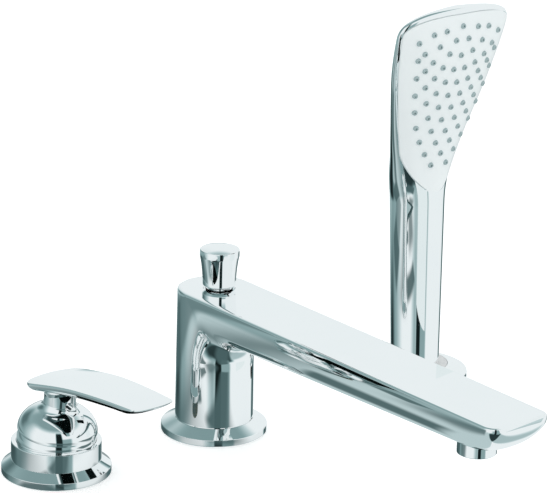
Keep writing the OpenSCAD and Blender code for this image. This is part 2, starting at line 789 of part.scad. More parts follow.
module aerator_housing() {
    color(CHROME) at_aerator() difference() {
        translate([0, 0, aerator_z0]) cylinder(r = aerator_r, h = aerator_len);
        translate([0, 0, aerator_z0 + aerator_lip]) cylinder(r = aerator_bore_r, h = aerator_len);
        translate([0, 0, aerator_z0 - eps]) cylinder(r = aerator_bore_r - aerator_lip, h = aerator_len);
    }
}

module spout_deck_seal() { color(RUBBER) deck_seal(); }
module spout_deck_washer() { color(STEEL) deck_washer(); }
module spout_fixing_nut() { color(BRASS) fixing_nut(); }

// Hand shower and its holder
module shower_rosette() {
    seat_r = insert_flange_r + run_gap;
    color(CHROME) at_shower() rosette(shower_rosette_d, seat_r + 2, seat_r, holder_top - holder_flange_t);
}

module shower_gasket() { color(RUBBER) at_shower() gasket(shower_rosette_d); }

module holder_shank() {
    seat_r = insert_flange_r + run_gap;
    color(BRASS) at_shower() difference() {
        union() {
            translate([0, 0, shank_bottom]) cylinder(r = shank_r, h = holder_top - shank_bottom);
            translate([0, 0, holder_top - holder_flange_t]) cylinder(r = seat_r, h = holder_flange_t);
        }
        translate([0, 0, shank_bottom - eps])
            cylinder(r = insert_r + shaft_gap, h = holder_top - shank_bottom + 2 * eps);
    }
}

module holder_insert() {
    color(PLASTIC) at_shower() {
        ring(insert_bore_r, insert_r, rosette_h - insert_drop, rosette_h);
        ring(insert_r, insert_flange_r, rosette_h - insert_flange_t, rosette_h);
    }
}

// Half width of the handset at a height z: a tapered grip that fans out to the head
function cap_round(c) = pow(1 - pow(unit(c), cap_power), 1 / cap_power);
function grip_r(z) = mix(grip_r0, grip_r1, unit((z - handset_z) / grip_len));
function fan_half_w(z) = let (u = unit(ramp(z - head_z, head_blend) / (shoulder_z - head_z)))
    grip_r(z) + (head_w / 2 - grip_r1) * u * (1 + head_swell * u * (1 - u));
function shell_half_w(z) = fan_half_w(z) * cap_round((z - shoulder_z) / head_cap_h);

// Front line of the handset and its depth before and behind the widest line, seen from the side
function front_y(z) = let (g = min(z, head_z))
    (g - handset_z) * tan(grip_lean) - grip_r(g) - face_reach * ease((z - face_z) / face_len);
function front_depth(z) = mix(grip_r(z), face_crown, ease((z - head_z) / plate_round))
    * (1 - pow(max(0, z - crown_fade_z) / crown_fade, 2));
function back_depth(z) = mix(grip_r(z), head_back_t, ease((z - head_z) / (2 * plate_round)))
    * (1 - 0.6 * pow(unit((z - shoulder_z) / head_cap_h), 2));
function shell_ring(z) = let (w = shell_half_w(z), f = front_depth(z), b = back_depth(z))
    [for (j = [0 : shell_points - 1]) let (a = -360 * j / shell_points)
        [w * cos(a), front_y(z) + f + (sin(a) < 0 ? f : b) * sin(a), z]];

module shell_form() {
    zs = concat(
        [for (i = [0 : grip_steps]) mix(handset_z, head_z - head_blend, i / grip_steps)],
        [for (i = [1 : head_steps]) mix(head_z - head_blend, shoulder_z, i / head_steps)],
        [for (i = [1 : cap_steps]) shoulder_z + cap_end * head_cap_h * sin(90 * i / cap_steps)]);
    at_shower() loft([for (z = zs) shell_ring(z)]);
}

// Surface of the spray face, and the direction that it looks in
function face_y(x, z) = front_y(z) + front_depth(z) * (1 - sqrt(max(0, 1 - pow(x / fan_half_w(z), 2))));
function face_normal(x, z) = let (h = 0.1,
        n = [(face_y(x + h, z) - face_y(x - h, z)) / 2 / h, -1, (face_y(x, z + h) - face_y(x, z - h)) / 2 / h])
    n / norm(n);

// Half width of the face plate, inset from the head's own outline
function plate_half_w(z, inset) = let (b = unit((z - plate_z0 - inset) / plate_round))
    (fan_half_w(z) - rim_w - inset) * sqrt(1 - pow(1 - b, 2))
    * cap_round((z - shoulder_z) / (head_cap_h - rim_top - inset));

// One layer of the spray face, from depth d0 to depth d1 behind its surface
module face_layer(d0, d1, inset) {
    end = 0.003;
    z0 = plate_z0 + inset;
    z1 = plate_top - inset;
    zs = [for (i = [0 : plate_steps])
        mix(z0, z1, mix(end, 1 - end, 0.5 - 0.5 * cos(180 * i / plate_steps)))];
    at_shower() loft([for (z = zs)
        let (w = plate_half_w(z, inset), xs = [for (j = [0 : plate_columns]) mix(-w, w, j / plate_columns)])
        concat(
            [for (j = [plate_columns : -1 : 0]) [xs[j], face_y(xs[j], z) + d1, z]],
            [for (x = xs) [x, face_y(x, z) + d0, z]])]);
}

// Axis of the waterway in the grip, from the connector up to the spray chamber
module waterway_axis() {
    at_shower() translate([0, 0, handset_z]) rotate([-grip_lean, 0, 0]) children();
}

module handset_shell() {
    proud = 6;
    color(CHROME) difference() {
        shell_form();
        face_layer(-proud, plate_t + mat_t, 0);
        face_layer(plate_t, plate_t + mat_t + chamber_t, chamber_rim);
        waterway_axis() cylinder(r = waterway_r, h = waterway_top - handset_z);
        waterway_axis() cylinder(r = feed_r, h = feed_top - handset_z);
        at_shower() translate([0, 0, feed_top - feed_r]) rotate([90, 0, 0])
            cylinder(r = feed_r, h = -front_y(feed_top) - plate_t - mat_t - 1);
        waterway_axis() translate([0, 0, -eps])
            cylinder(r = connector_shoulder_r, h = connector_shoulder_h + handset_seal_t + eps);
    }
}

// A place on the spray face, with Z out of it
module on_face(p) {
    n = face_normal(p[0], p[1]);
    at_shower() translate([p[0], face_y(p[0], p[1]), p[1]])
        rotate([0, acos(n[2]), atan2(n[1], n[0])]) children();
}

// Rows of nozzles hang in arcs: each row is one longer than the row below it, up to the longest
function row_z(row) = nozzle_z0 + row * (nozzle_row_pitch + nozzle_row_stretch * row);
function row_bow(row) = let (t = row / (nozzle_rows - 1))
    t > 1 ? 1 / (nozzle_centre_z - row_z(row)) : max(0.001, nozzle_bow * (1 - pow(1 - t, 2)));
function nozzle_row(count, row) = let (
        r = 1 / row_bow(row),
        pitch = mix(nozzle_pitch_low, nozzle_pitch, min(1, row / (nozzle_rows - 1)))
            + max(0, row - nozzle_rows + 1) * nozzle_pitch_step)
    [for (i = [0 : count - 1]) let (a = 180 / PI * (i - (count - 1) / 2) * pitch / r)
        [r * sin(a), row_z(row) + r * (1 - cos(a))]];
NOZZLES = concat(
    [for (row = [0 : nozzle_rows - 1]) each nozzle_row(row + 2, row)],
    [for (i = [0 : len(NOZZLES_ABOVE) - 1]) each nozzle_row(NOZZLES_ABOVE[i], nozzle_rows + i)]);

module handset_face_plate() {
    color(WHITE) difference() {
        face_layer(0, plate_t, 0);
        for (p = NOZZLES) on_face(p) translate([0, 0, -2 * plate_t])
            cylinder(r = nozzle_r, h = 3 * plate_t, $fn = 24);
    }
}

module handset_nozzles() {
    orifice_r = 0.5;
    color(SILICONE) difference() {
        union() {
            face_layer(plate_t, plate_t + mat_t, 0);
            for (p = NOZZLES) on_face(p) translate([0, 0, -plate_t - mat_t / 2])
                cylinder(r = nozzle_r, h = plate_t + mat_t / 2 + nozzle_h, $fn = 24);
        }
        for (p = NOZZLES) on_face(p) translate([0, 0, -2 * plate_t - mat_t])
            cylinder(r = orifice_r, h = 3 * plate_t + mat_t + nozzle_h, $fn = 24);
    }
}

module handset_waterway() {
    wall = 2;
    z0 = connector_shoulder_h + handset_seal_t;
    color(PLASTIC) waterway_axis() ring(waterway_r - wall, waterway_r, z0, waterway_top - handset_z);
}

module handset_connector() {
    color(CHROME) waterway_axis() difference() {
        union() {
            translate([0, 0, -connector_drop]) cylinder(r = connector_r, h = connector_drop);
            cylinder(r = connector_shoulder_r, h = connector_shoulder_h);
        }
        translate([0, 0, -connector_drop - eps])
            cylinder(r = connector_bore_r, h = connector_drop + connector_shoulder_h + 2 * eps);
    }
}

module handset_seal() {
    color(RUBBER) waterway_axis()
        ring(connector_bore_r, connector_shoulder_r, connector_shoulder_h,
            connector_shoulder_h + handset_seal_t);
}

module shower_deck_seal() { color(RUBBER) at_shower() deck_seal(); }
module shower_deck_washer() { color(STEEL) at_shower() deck_washer(); }
module shower_fixing_nut() { color(BRASS) at_shower() fixing_nut(); }

mixer_rosette();
mixer_gasket();
mixer_valve_body();
mixer_sleeve();
mixer_dome();
cartridge_seals();
cartridge_housing();
cartridge_nut();
ceramic_fixed_disc();
ceramic_moving_disc();
cartridge_carrier();
cartridge_pivot_pin();
cartridge_spindle();
lever_handle();
lever_grub_screw();
mixer_deck_seal();
mixer_deck_washer();
mixer_fixing_nut();
spout_rosette();
spout_gasket();
spout_body();
spout_shank();
diverter_cage();
diverter_knob();
diverter_rod();
diverter_plunger();
diverter_seals();
diverter_spring();
diverter_gland();
diverter_o_ring();
aerator_seal();
aerator_insert();
aerator_housing();
spout_deck_seal();
spout_deck_washer();
spout_fixing_nut();
shower_rosette();
shower_gasket();
holder_shank();
holder_insert();
handset_shell();
handset_face_plate();
handset_nozzles();
handset_waterway();
handset_connector();
handset_seal();
shower_deck_seal();
shower_deck_washer();
shower_fixing_nut();
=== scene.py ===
# A three-hole bath mixer set in chrome: a lever valve, a spout with a pull diverter and a hand shower.
# Sizes are millimetres in the part's own frame: the deck is z = 0 and the spout reaches towards -Y.
from math import acos, asin, atan2, cos, hypot, pi, radians, sin, sqrt, tan

import bmesh
import bpy
from mathutils import Matrix, Vector


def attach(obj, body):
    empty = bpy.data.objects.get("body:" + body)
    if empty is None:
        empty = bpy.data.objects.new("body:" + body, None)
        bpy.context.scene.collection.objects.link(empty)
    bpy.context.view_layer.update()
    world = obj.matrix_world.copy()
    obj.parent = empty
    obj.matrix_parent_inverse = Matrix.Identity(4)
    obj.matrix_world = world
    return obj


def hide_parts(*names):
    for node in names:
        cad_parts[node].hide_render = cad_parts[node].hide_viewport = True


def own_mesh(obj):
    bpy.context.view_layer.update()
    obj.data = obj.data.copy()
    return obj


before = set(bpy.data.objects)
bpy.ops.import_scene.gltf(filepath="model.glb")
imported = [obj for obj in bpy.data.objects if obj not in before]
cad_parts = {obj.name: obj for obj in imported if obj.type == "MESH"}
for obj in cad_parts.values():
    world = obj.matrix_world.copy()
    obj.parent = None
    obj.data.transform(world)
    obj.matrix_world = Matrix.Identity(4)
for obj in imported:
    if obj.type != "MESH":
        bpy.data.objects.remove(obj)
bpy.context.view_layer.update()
scene = bpy.context.scene

# Camera: the photograph's own viewpoint, from the front left and a little above the rim.
# It was fitted to the rims of the rosettes and to the edges of the spout. Lengths are in metres.
PHOTO_WIDTH = 549
FOCAL_PIXELS = 2910.34
SENSOR_MM = 36
VIEW_AZIMUTH = radians(-38.852)
VIEW_ELEVATION = radians(18.18)
VIEW_ROLL = radians(1.388)
VIEW_DISTANCE = 1.917146
VIEW_TARGET = Vector((0.047769, 0, 0.117187))

towards_camera = Vector((sin(VIEW_AZIMUTH) * cos(VIEW_ELEVATION),
                         -cos(VIEW_AZIMUTH) * cos(VIEW_ELEVATION), sin(VIEW_ELEVATION)))
level_right = Vector((cos(VIEW_AZIMUTH), sin(VIEW_AZIMUTH), 0))
level_up = towards_camera.cross(level_right)
camera_right = level_right * cos(VIEW_ROLL) + level_up * sin(VIEW_ROLL)
camera_up = level_up * cos(VIEW_ROLL) - level_right * sin(VIEW_ROLL)
lens = bpy.data.cameras.new("photo_camera")
lens.sensor_width = SENSOR_MM
lens.lens = FOCAL_PIXELS / PHOTO_WIDTH * SENSOR_MM
camera = bpy.data.objects.new("photo_camera", lens)
scene.collection.objects.link(camera)
camera.matrix_world = Matrix.Translation(VIEW_TARGET + towards_camera * VIEW_DISTANCE) @ Matrix(
    (camera_right, camera_up, towards_camera)).transposed().to_4x4()
scene.camera = camera
scene.view_settings.view_transform = "Standard"

# Tent: a white studio tent with grey walls, cards and dark gaps that only the chrome picks up.
# For the camera and for matt surfaces it is plain white at strength 1.
TENT_TONE = 0.93
world = bpy.data.worlds.new("white_tent")
world.use_nodes = True
scene.world = world
tree = world.node_tree
tree.nodes.clear()


def studio_node(kind, **settings):
    """A new node in the tree at hand, which is the tent's or later that of a sheet of the stage."""
    node = tree.nodes.new(kind)
    for name, value in settings.items():
        setattr(node, name, value)
    return node


def studio_math(operation, a, b=None):
    node = studio_node("ShaderNodeMath", operation=operation)
    for socket, value in zip(node.inputs, (a, b)):
        if value is None:
            continue
        if isinstance(value, (int, float)):
            socket.default_value = value
        else:
            tree.links.new(value, socket)
    return node.outputs[0]


parts = studio_node("ShaderNodeSeparateXYZ")
tree.links.new(studio_node("ShaderNodeTexCoord").outputs["Generated"], parts.inputs[0])
# Bearing round the tent, in degrees: 0 points at the camera and grows to its right
ahead = studio_math("ADD", studio_math("MULTIPLY", parts.outputs[0], sin(VIEW_AZIMUTH)),
                    studio_math("MULTIPLY", parts.outputs[1], -cos(VIEW_AZIMUTH)))
aside = studio_math("ADD", studio_math("MULTIPLY", parts.outputs[0], cos(VIEW_AZIMUTH)),
                    studio_math("MULTIPLY", parts.outputs[1], sin(VIEW_AZIMUTH)))
bearing = studio_math("MULTIPLY", studio_math("ARCTAN2", aside, ahead), 180 / pi)
height = studio_math("MULTIPLY", studio_math("ARCSINE", parts.outputs[2]), 180 / pi)


def studio_ramp(value, low, high):
    node = studio_node("ShaderNodeMapRange", interpolation_type="SMOOTHSTEP")
    tree.links.new(value, node.inputs["Value"])
    node.inputs["From Min"].default_value = low
    node.inputs["From Max"].default_value = high
    return node.outputs["Result"]


def studio_band(value, low, high, soft):
    """1 between low and high, and 0 outside, with soft edges."""
    return studio_math("MULTIPLY", studio_ramp(value, low - soft, low + soft),
                       studio_math("SUBTRACT", 1, studio_ramp(value, high - soft, high + soft)))


# Each layer lies over those above it: bearings, heights, softness of both in degrees, and its tone
tone = TENT_TONE
for bearings, heights, soft_bearing, soft_height, layer_tone in (
        ((-150, -84), (-90, 90), 24, 1, 0.60),  # left wall
        ((-150, -112), (5, 32), 14, 8, 0.40),  # darker patch on the left wall
        ((-400, 400), (49, 200), 1, 11, 0.56),  # ceiling
        ((-190, -140), (-24, -6), 12, 4, 0.66),  # low card behind the set
        ((-180, -50), (-90, -26), 6, 3, 0.76),  # floor at the left
        ((-45, 58), (-90, -31), 10, 6, 0.20),  # floor at the camera's feet
        ((58, 130), (-90, -40), 10, 6, 0.70),  # floor at the right
        ((-14, 4), (-36, -14), 12, 4, 0.62),  # grey card below the lens
        ((19, 46), (-40, 14), 4, 4, 0.60),  # grey card to the right of the lens
        ((3, 20), (-40, 42), 2.5, 6, 0.04),  # dark gap beside the camera
        ((-158, -122), (-31, -20), 16, 2, 0.06),  # dark gap at the far left
        ((140, 160), (-30, -14), 5, 3, 0.30)):  # dark gap at the far right
    layer = studio_node("ShaderNodeMix")
    tree.links.new(studio_math("MULTIPLY", studio_band(bearing, *bearings, soft_bearing),
                               studio_band(height, *heights, soft_height)), layer.inputs["Factor"])
    if isinstance(tone, float):
        layer.inputs["A"].default_value = tone
    else:
        tree.links.new(tone, layer.inputs["A"])
    layer.inputs["B"].default_value = layer_tone
    tone = layer.outputs["Result"]

# The greys of the tent have a cool, greenish cast
TENT_SHADES = ((0.0, (0.003, 0.006, 0.006)), (0.2, (0.020, 0.038, 0.040)), (0.4, (0.090, 0.155, 0.160)),
               (0.6, (0.240, 0.360, 0.370)), (0.8, (0.530, 0.650, 0.665)), (0.93, (0.830, 0.886, 0.900)),
               (1.0, (1, 1, 1)))
tint = studio_node("ShaderNodeValToRGB")
tree.links.new(tone, tint.inputs["Fac"])
stops = tint.color_ramp.elements
for position, colour in TENT_SHADES:
    stop = stops[0] if position == 0 else stops[-1] if position == 1 else stops.new(position)
    stop.color = (*colour, 1)
path = studio_node("ShaderNodeLightPath")
seen = studio_node("ShaderNodeMix", data_type="RGBA")
tree.links.new(studio_math("MAXIMUM", path.outputs["Is Glossy Ray"], path.outputs["Transparent Depth"]),
               seen.inputs["Factor"])
seen.inputs["A"].default_value = (1, 1, 1, 1)
tree.links.new(tint.outputs["Color"], seen.inputs["B"])
background = studio_node("ShaderNodeBackground")
tree.links.new(seen.outputs["Result"], background.inputs["Color"])
background.inputs["Strength"].default_value = 1.0
tree.links.new(background.outputs[0], studio_node("ShaderNodeOutputWorld").inputs["Surface"])

# Deck: the pale bath rim that the units stand on, a plane at z = 0 that keeps their shadows.
# A little glow for the camera brings it up to white, and the chrome looks past it at the tent.
DECK_HALF = 4.0
DECK_GLOW = 0.35


def sheet(name, points, faces=((0, 1, 2, 3),)):
    """A plain sheet of the stage, from points in metres."""
    mesh = bpy.data.meshes.new(name)
    mesh.from_pydata(points, [], faces)
    obj = bpy.data.objects.new(name, mesh)
    scene.collection.objects.link(obj)
    return obj


def level_square(half, z):
    return [(-half, -half, z), (half, -half, z), (half, half, z), (-half, half, z)]


floor = sheet("deck_plane", level_square(DECK_HALF, 0))
floor_paint = bpy.data.materials.new("deck_white")
floor_paint.use_nodes = True
tree = floor_paint.node_tree
shader = tree.nodes["Principled BSDF"]
shader.inputs["Base Color"].default_value = (0.95, 0.955, 0.955, 1)
shader.inputs["Roughness"].default_value = 0.6
shader.inputs["Emission Color"].default_value = (1, 1, 1, 1)
tree.links.new(studio_math("MULTIPLY", studio_node("ShaderNodeLightPath").outputs["Is Camera Ray"], DECK_GLOW),
               shader.inputs["Emission Strength"])
floor.data.materials.append(floor_paint)
floor.visible_glossy = False

# Painted deck shadows: what the chrome does see of the deck, dim patches of painted shadow that the units throw
# on the rim.
# It is a sheet just above the deck that is clear between the painted shadow patches.
SHADOW_SHEET_HALF = 0.4
SHADOW_SHEET_LIFT = 0.0003
# Colour of the painted shadows, a dim grey-teal glow
PAINTED_SHADOW_COLOUR = (0.070, 0.125, 0.130)


def chrome_only(obj):
    """Only mirror reflections show this sheet."""
    obj.visible_camera = False
    obj.visible_diffuse = False
    obj.visible_shadow = False


painted_shadow_sheet = sheet("deck_painted_shadows", level_square(SHADOW_SHEET_HALF, SHADOW_SHEET_LIFT))
painted_shadow_paint = bpy.data.materials.new("deck_painted_shadow_patches")
painted_shadow_paint.use_nodes = True
tree = painted_shadow_paint.node_tree
tree.nodes.clear()
spot = studio_node("ShaderNodeSeparateXYZ")
tree.links.new(studio_node("ShaderNodeNewGeometry").outputs["Position"], spot.inputs[0])
dim = 0.0
# The sides of each painted shadow patch in metres, the softness of its edges in X and Y, and its strength
for left, right, near, far, soft_x, soft_y, strength in (
        (-0.062, 0.000, -0.170, -0.034, 0.014, 0.010, 0.95),  # under the spout's arm
        (-0.240, 0.020, -0.010, 0.066, 0.030, 0.050, 0.80),  # between the mixer and the spout
        (-0.290, -0.110, -0.200, -0.090, 0.030, 0.030, 0.80),  # in front of the mixer
        (-0.270, -0.060, 0.140, 0.290, 0.030, 0.020, 0.60),  # far behind the mixer
        (-0.172, -0.138, -0.080, -0.036, 0.006, 0.006, 0.90),  # at the mixer's front left
        (-0.170, -0.090, -0.034, -0.006, 0.008, 0.006, 0.95),  # at the mixer's foot
        (-0.080, 0.050, 0.130, 0.280, 0.020, 0.020, 0.95)):  # far behind the spout
    patch = studio_math("MULTIPLY", studio_band(spot.outputs[0], left, right, soft_x),
                        studio_band(spot.outputs[1], near, far, soft_y))
    dim = studio_math("MAXIMUM", dim, studio_math("MULTIPLY", patch, strength))
# The painted shadows glow in a dim grey-teal, and between them the sheet lets the tent show through.
dark = studio_node("ShaderNodeEmission")
dark.inputs["Color"].default_value = (*PAINTED_SHADOW_COLOUR, 1)
blend = studio_node("ShaderNodeMixShader")
tree.links.new(dim, blend.inputs[0])
tree.links.new(studio_node("ShaderNodeBsdfTransparent").outputs[0], blend.inputs[1])
tree.links.new(dark.outputs[0], blend.inputs[2])
tree.links.new(blend.outputs[0], studio_node("ShaderNodeOutputMaterial").inputs["Surface"])
painted_shadow_sheet.data.materials.append(painted_shadow_paint)
chrome_only(painted_shadow_sheet)

# Fill card: a pale upright card in front of the hand shower, as in a product shot.
# It keeps the dark gap beside the camera out of the grip's chrome.
FILL_FROM = Vector((0.060, -0.150, 0))
FILL_TO = Vector((0.176, -0.128, 0))
FILL_TOP = Vector((0, 0, 0.13))
FILL_WHITE = (0.76, 0.84, 0.85)
fill = sheet("fill_card", [FILL_FROM, FILL_TO, FILL_TO + FILL_TOP, FILL_FROM + FILL_TOP])
fill_paint = bpy.data.materials.new("fill_card_white")
fill_paint.use_nodes = True
tree = fill_paint.node_tree
tree.nodes.clear()
glow = studio_node("ShaderNodeEmission")
glow.inputs["Color"].default_value = (*FILL_WHITE, 1)
tree.links.new(glow.outputs[0], studio_node("ShaderNodeOutputMaterial").inputs["Surface"])
fill.data.materials.append(fill_paint)
chrome_only(fill)

# Rosettes: three spun brass cover rings, chrome plated, one round the foot of each unit.
# A straight rim carries a wide bevel, and the unit's own foot covers the inner edge.
MM = 0.001
MIXER_X = -125.8
SHOWER_X = 175.5
ROSETTE_R = 35
SHOWER_ROSETTE_R = 36.5
ROSETTE_RIM_H = 4.6
ROSETTE_H = 9.2
ROSETTE_CHAMFER = 0.5
ROSETTE_EDGE = 0.5
ROSETTE_SOFT_EDGE = 0.3
SHANK_R = 20
BORE_STEP = 1
SLEEVE_R = 28.8
COLUMN_BASE_R = 25.9
SEAT_R = 23.0
SEAT_Z = 4.9
SEAT_LIP = 2
TURNS = 192
ARC_STEPS = 5
ON_AXIS = 1e-6


def solid(name, points, faces, sharp=40):
    """A closed mesh piece from points in millimetres, shaded smooth between its sharp edges."""
    mesh = bpy.data.meshes.new(name)
    mesh.from_pydata([(x * MM, y * MM, z * MM) for x, y, z in points], [], faces)
    build = bmesh.new()
    build.from_mesh(mesh)
    bmesh.ops.recalc_face_normals(build, faces=build.faces)
    build.to_mesh(mesh)
    build.free()
    mesh.shade_smooth()
    mesh.set_sharp_from_angle(angle=radians(sharp))
    piece = bpy.data.objects.new(name, mesh)
    scene.collection.objects.link(piece)
    return piece


def rounded(corners):
    """Rounds the corners of a closed outline: each corner is (radius, height, fillet)."""
    outline = []
    for i, (r, z, fillet) in enumerate(corners):
        if fillet == 0:
            outline.append((r, z))
            continue
        here = Vector((r, z))
        back = (Vector(corners[i - 1][:2]) - here).normalized()
        on = (Vector(corners[(i + 1) % len(corners)][:2]) - here).normalized()
        half = back.angle(on) / 2
        centre = here + (back + on).normalized() * fillet / sin(half)
        first = here + back * fillet / tan(half) - centre
        last = here + on * fillet / tan(half) - centre
        turn = first.angle_signed(last)
        for k in range(ARC_STEPS + 1):
            a = -turn * k / ARC_STEPS
            outline.append((centre.x + first.x * cos(a) - first.y * sin(a),
                            centre.y + first.x * sin(a) + first.y * cos(a)))
    return outline


def turn_outline(points, outline, turns, place):
    """Adds the points of a turned outline, each put in its place, and returns their numbers by ring."""
    rings = []
    for r, z in outline:
        if r < ON_AXIS:
            rings.append([len(points)] * turns)
            points.append(place(0, 0, z))
        else:
            rings.append([len(points) + k for k in range(turns)])
            points += [place(r * cos(2 * pi * k / turns), r * sin(2 * pi * k / turns), z) for k in range(turns)]
    return rings


def ring_faces(rings):
    """Faces between each ring and the next; a ring on the axis gives triangles."""
    faces = []
    for a, b in zip(rings, rings[1:]):
        for k in range(len(a)):
            on = (k + 1) % len(a)
            corners = [a[k], a[on], b[on], b[k]]
            face = [c for i, c in enumerate(corners) if c not in corners[:i]]
            if len(face) > 2:
                faces.append(face)
    return faces


def lathe(name, outline, at=(0, 0, 0), turns=TURNS):
    """Turns a closed outline of (radius, height) round a vertical axis."""
    points = []
    rings = turn_outline(points, outline, turns, lambda x, y, z: (at[0] + x, at[1] + y, at[2] + z))
    return solid(name, points, ring_faces(rings + rings[:1]))


def dress(piece, material, slot, body, *stands_for):
    """Finishes a piece and hangs it on its body in place of the CAD nodes that it stands for."""
    piece.data.materials.clear()
    piece.data.materials.append(material)
    weigh = piece.modifiers.new("flat_faces_first", "WEIGHTED_NORMAL")
    weigh.keep_sharp = True
    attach(piece, body)
    if stands_for:
        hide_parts(*stands_for)
    return piece


mottle = bpy.data.node_groups.new("fine_mottle", "ShaderNodeTree")
for socket in ("Grain per metre", "Low", "High"):
    mottle.interface.new_socket(socket, in_out="INPUT", socket_type="NodeSocketFloat")
mottle.interface.new_socket("Value", in_out="OUTPUT", socket_type="NodeSocketFloat")
mottle_in = mottle.nodes.new("NodeGroupInput")
mottle_noise = mottle.nodes.new("ShaderNodeTexNoise")
mottle.links.new(mottle.nodes.new("ShaderNodeTexCoord").outputs["Object"], mottle_noise.inputs["Vector"])
mottle.links.new(mottle_in.outputs["Grain per metre"], mottle_noise.inputs["Scale"])
mottle_span = mottle.nodes.new("ShaderNodeMapRange")
mottle_span.inputs["From Min"].default_value = 0.3
mottle_span.inputs["From Max"].default_value = 0.7
mottle.links.new(mottle_noise.outputs["Fac"], mottle_span.inputs["Value"])
mottle.links.new(mottle_in.outputs["Low"], mottle_span.inputs["To Min"])
mottle.links.new(mottle_in.outputs["High"], mottle_span.inputs["To Max"])
mottle.links.new(mottle_span.outputs["Result"], mottle.nodes.new("NodeGroupOutput").inputs["Value"])


def mottled(material, grain, low, high):
    """Places the mottle in a material: a value that wanders between low and high over the surface."""
    node = material.node_tree.nodes.new("ShaderNodeGroup")
    node.node_tree = mottle
    for socket, value in zip(node.inputs, (grain, low, high)):
        socket.default_value = value
    return node.outputs["Value"]


def finish(name, grain, shades, rough_grain, rough, metallic=0.0):
    """A finish whose colour wanders between two shades and its roughness between two values."""
    material = bpy.data.materials.new(name)
    material.use_nodes = True
    link = material.node_tree.links.new
    shader = material.node_tree.nodes["Principled BSDF"]
    shader.inputs["Metallic"].default_value = metallic
    colour = material.node_tree.nodes.new("ShaderNodeMix")
    colour.data_type = "RGBA"
    colour.inputs["A"].default_value = (*shades[0], 1)
    colour.inputs["B"].default_value = (*shades[1], 1)
    link(mottled(material, grain, 0, 1), colour.inputs["Factor"])
    link(colour.outputs["Result"], shader.inputs["Base Color"])
    link(mottled(material, rough_grain, *rough), shader.inputs["Roughness"])
    return material


chrome = finish("bright_chrome", 25, ((0.970, 0.975, 0.975), (0.955, 0.965, 0.968)), 60, (0.015, 0.045), 1.0)


def rosette_outline(rim_r, top_r, seat_r, seat_z):
    return rounded([(SHANK_R, 0, 0), (rim_r - ROSETTE_CHAMFER, 0, 0),
                    (rim_r, ROSETTE_CHAMFER, ROSETTE_SOFT_EDGE), (rim_r, ROSETTE_RIM_H, ROSETTE_EDGE),
                    (top_r, ROSETTE_H, ROSETTE_SOFT_EDGE), (seat_r, ROSETTE_H, 0), (seat_r, seat_z, 0),
                    (SHANK_R, seat_z, 0)])


for node, x, rim_r, top_r, seat_r, seat_z in (
        ("mixer_rosette", MIXER_X, ROSETTE_R, SLEEVE_R, SHANK_R + BORE_STEP, ROSETTE_H - BORE_STEP),
        ("spout_rosette", 0, ROSETTE_R, COLUMN_BASE_R, SHANK_R + BORE_STEP, ROSETTE_H - BORE_STEP),
        ("shower_rosette", SHOWER_X, SHOWER_ROSETTE_R, SEAT_R + SEAT_LIP, SEAT_R, SEAT_Z)):
    ring = lathe(node + "_plated", rosette_outline(rim_r, top_r, seat_r, seat_z), (x, 0, 0))
    dress(ring, chrome, "polished_chrome", "root", node)

# Sleeve: a short chrome tube that stands on the mixer's rosette and hides the valve body.
# Its flat top is a bright ring round the foot of the dome.
SLEEVE_TOP_Z = 21.3
SLEEVE_GAP = 0.1
SLEEVE_FOOT_EDGE = 0.15
SLEEVE_TOP_EDGE = 0.45
SLEEVE_INNER_EDGE = 0.2
DOME_R = 25.5
sleeve = lathe("mixer_sleeve_plated", rounded([
    (DOME_R + SLEEVE_GAP, ROSETTE_H, 0), (SLEEVE_R, ROSETTE_H, SLEEVE_FOOT_EDGE),
    (SLEEVE_R, SLEEVE_TOP_Z, SLEEVE_TOP_EDGE),
    (DOME_R + SLEEVE_GAP, SLEEVE_TOP_Z, SLEEVE_INNER_EDGE)]), (MIXER_X, 0, 0))
dress(sleeve, chrome, "polished_chrome", "root", "mixer_sleeve")

# Dome: the fixed ball under the lever's hood, pressed from brass and plated.
# Its mouth leaves room for the lever's stem at every tilt.
PIVOT_Z = 20
DOME_WALL = 1.6
MOUTH_R = 15.6
DOME_STEPS = 40
inner_r = DOME_R - DOME_WALL
mouth_out = asin(MOUTH_R / DOME_R)
mouth_in = asin(MOUTH_R / inner_r)
dome_outline = [(inner_r, ROSETTE_H), (DOME_R, ROSETTE_H)]
dome_outline += [(DOME_R * cos(a), PIVOT_Z + DOME_R * sin(a)) for a in
                 (k / DOME_STEPS * (pi / 2 - mouth_out) for k in range(DOME_STEPS + 1))]
dome_outline += [(inner_r * cos(a), PIVOT_Z + inner_r * sin(a)) for a in
                 ((1 - k / DOME_STEPS) * (pi / 2 - mouth_in) for k in range(DOME_STEPS + 1))]
dome = lathe("mixer_dome_plated", dome_outline, (MIXER_X, 0, 0))
dress(dome, chrome, "polished_chrome", "root", "mixer_dome")

# Lever: one brass casting, plated, of a hood that rides over the dome, a neck and a long blade.
# The hood's cavity is a ball about the tilt axis, so the lever tips without touching the dome.
# The neck flares into the blade's underside in a cast fillet, and a screw hole sits in its front.
LEVER_TILT = radians(7.7)
HOOD_R = 25.5
HOOD_RIM_Z = 8.8
HOOD_H = 17
HOOD_STEPS = 64
NECK_R = 10.2
NECK_FILLET = 4
NECK_TOP = 41
RUN_GAP = 0.3
GRUB_Z = 29
GRUB_HOLE_R = 2.8
GRUB_SEAT = 7.5
GRUB_TURNS = 48


def mix(a, b, t):
    return a + (b - a) * t


def unit(t):
    return max(0.0, min(1.0, t))


def ease(t):
    return unit(t) ** 2 * (3 - 2 * unit(t))


def signed_power(x, p):
    return (1 if x >= 0 else -1) * abs(x) ** p


def hood_z(r):
    rise = max(0, NECK_R + NECK_FILLET - r)
    return (HOOD_RIM_Z + HOOD_H * sqrt(max(0, 1 - (r / HOOD_R) ** 2))
            + NECK_FILLET - sqrt(NECK_FILLET ** 2 - rise ** 2))


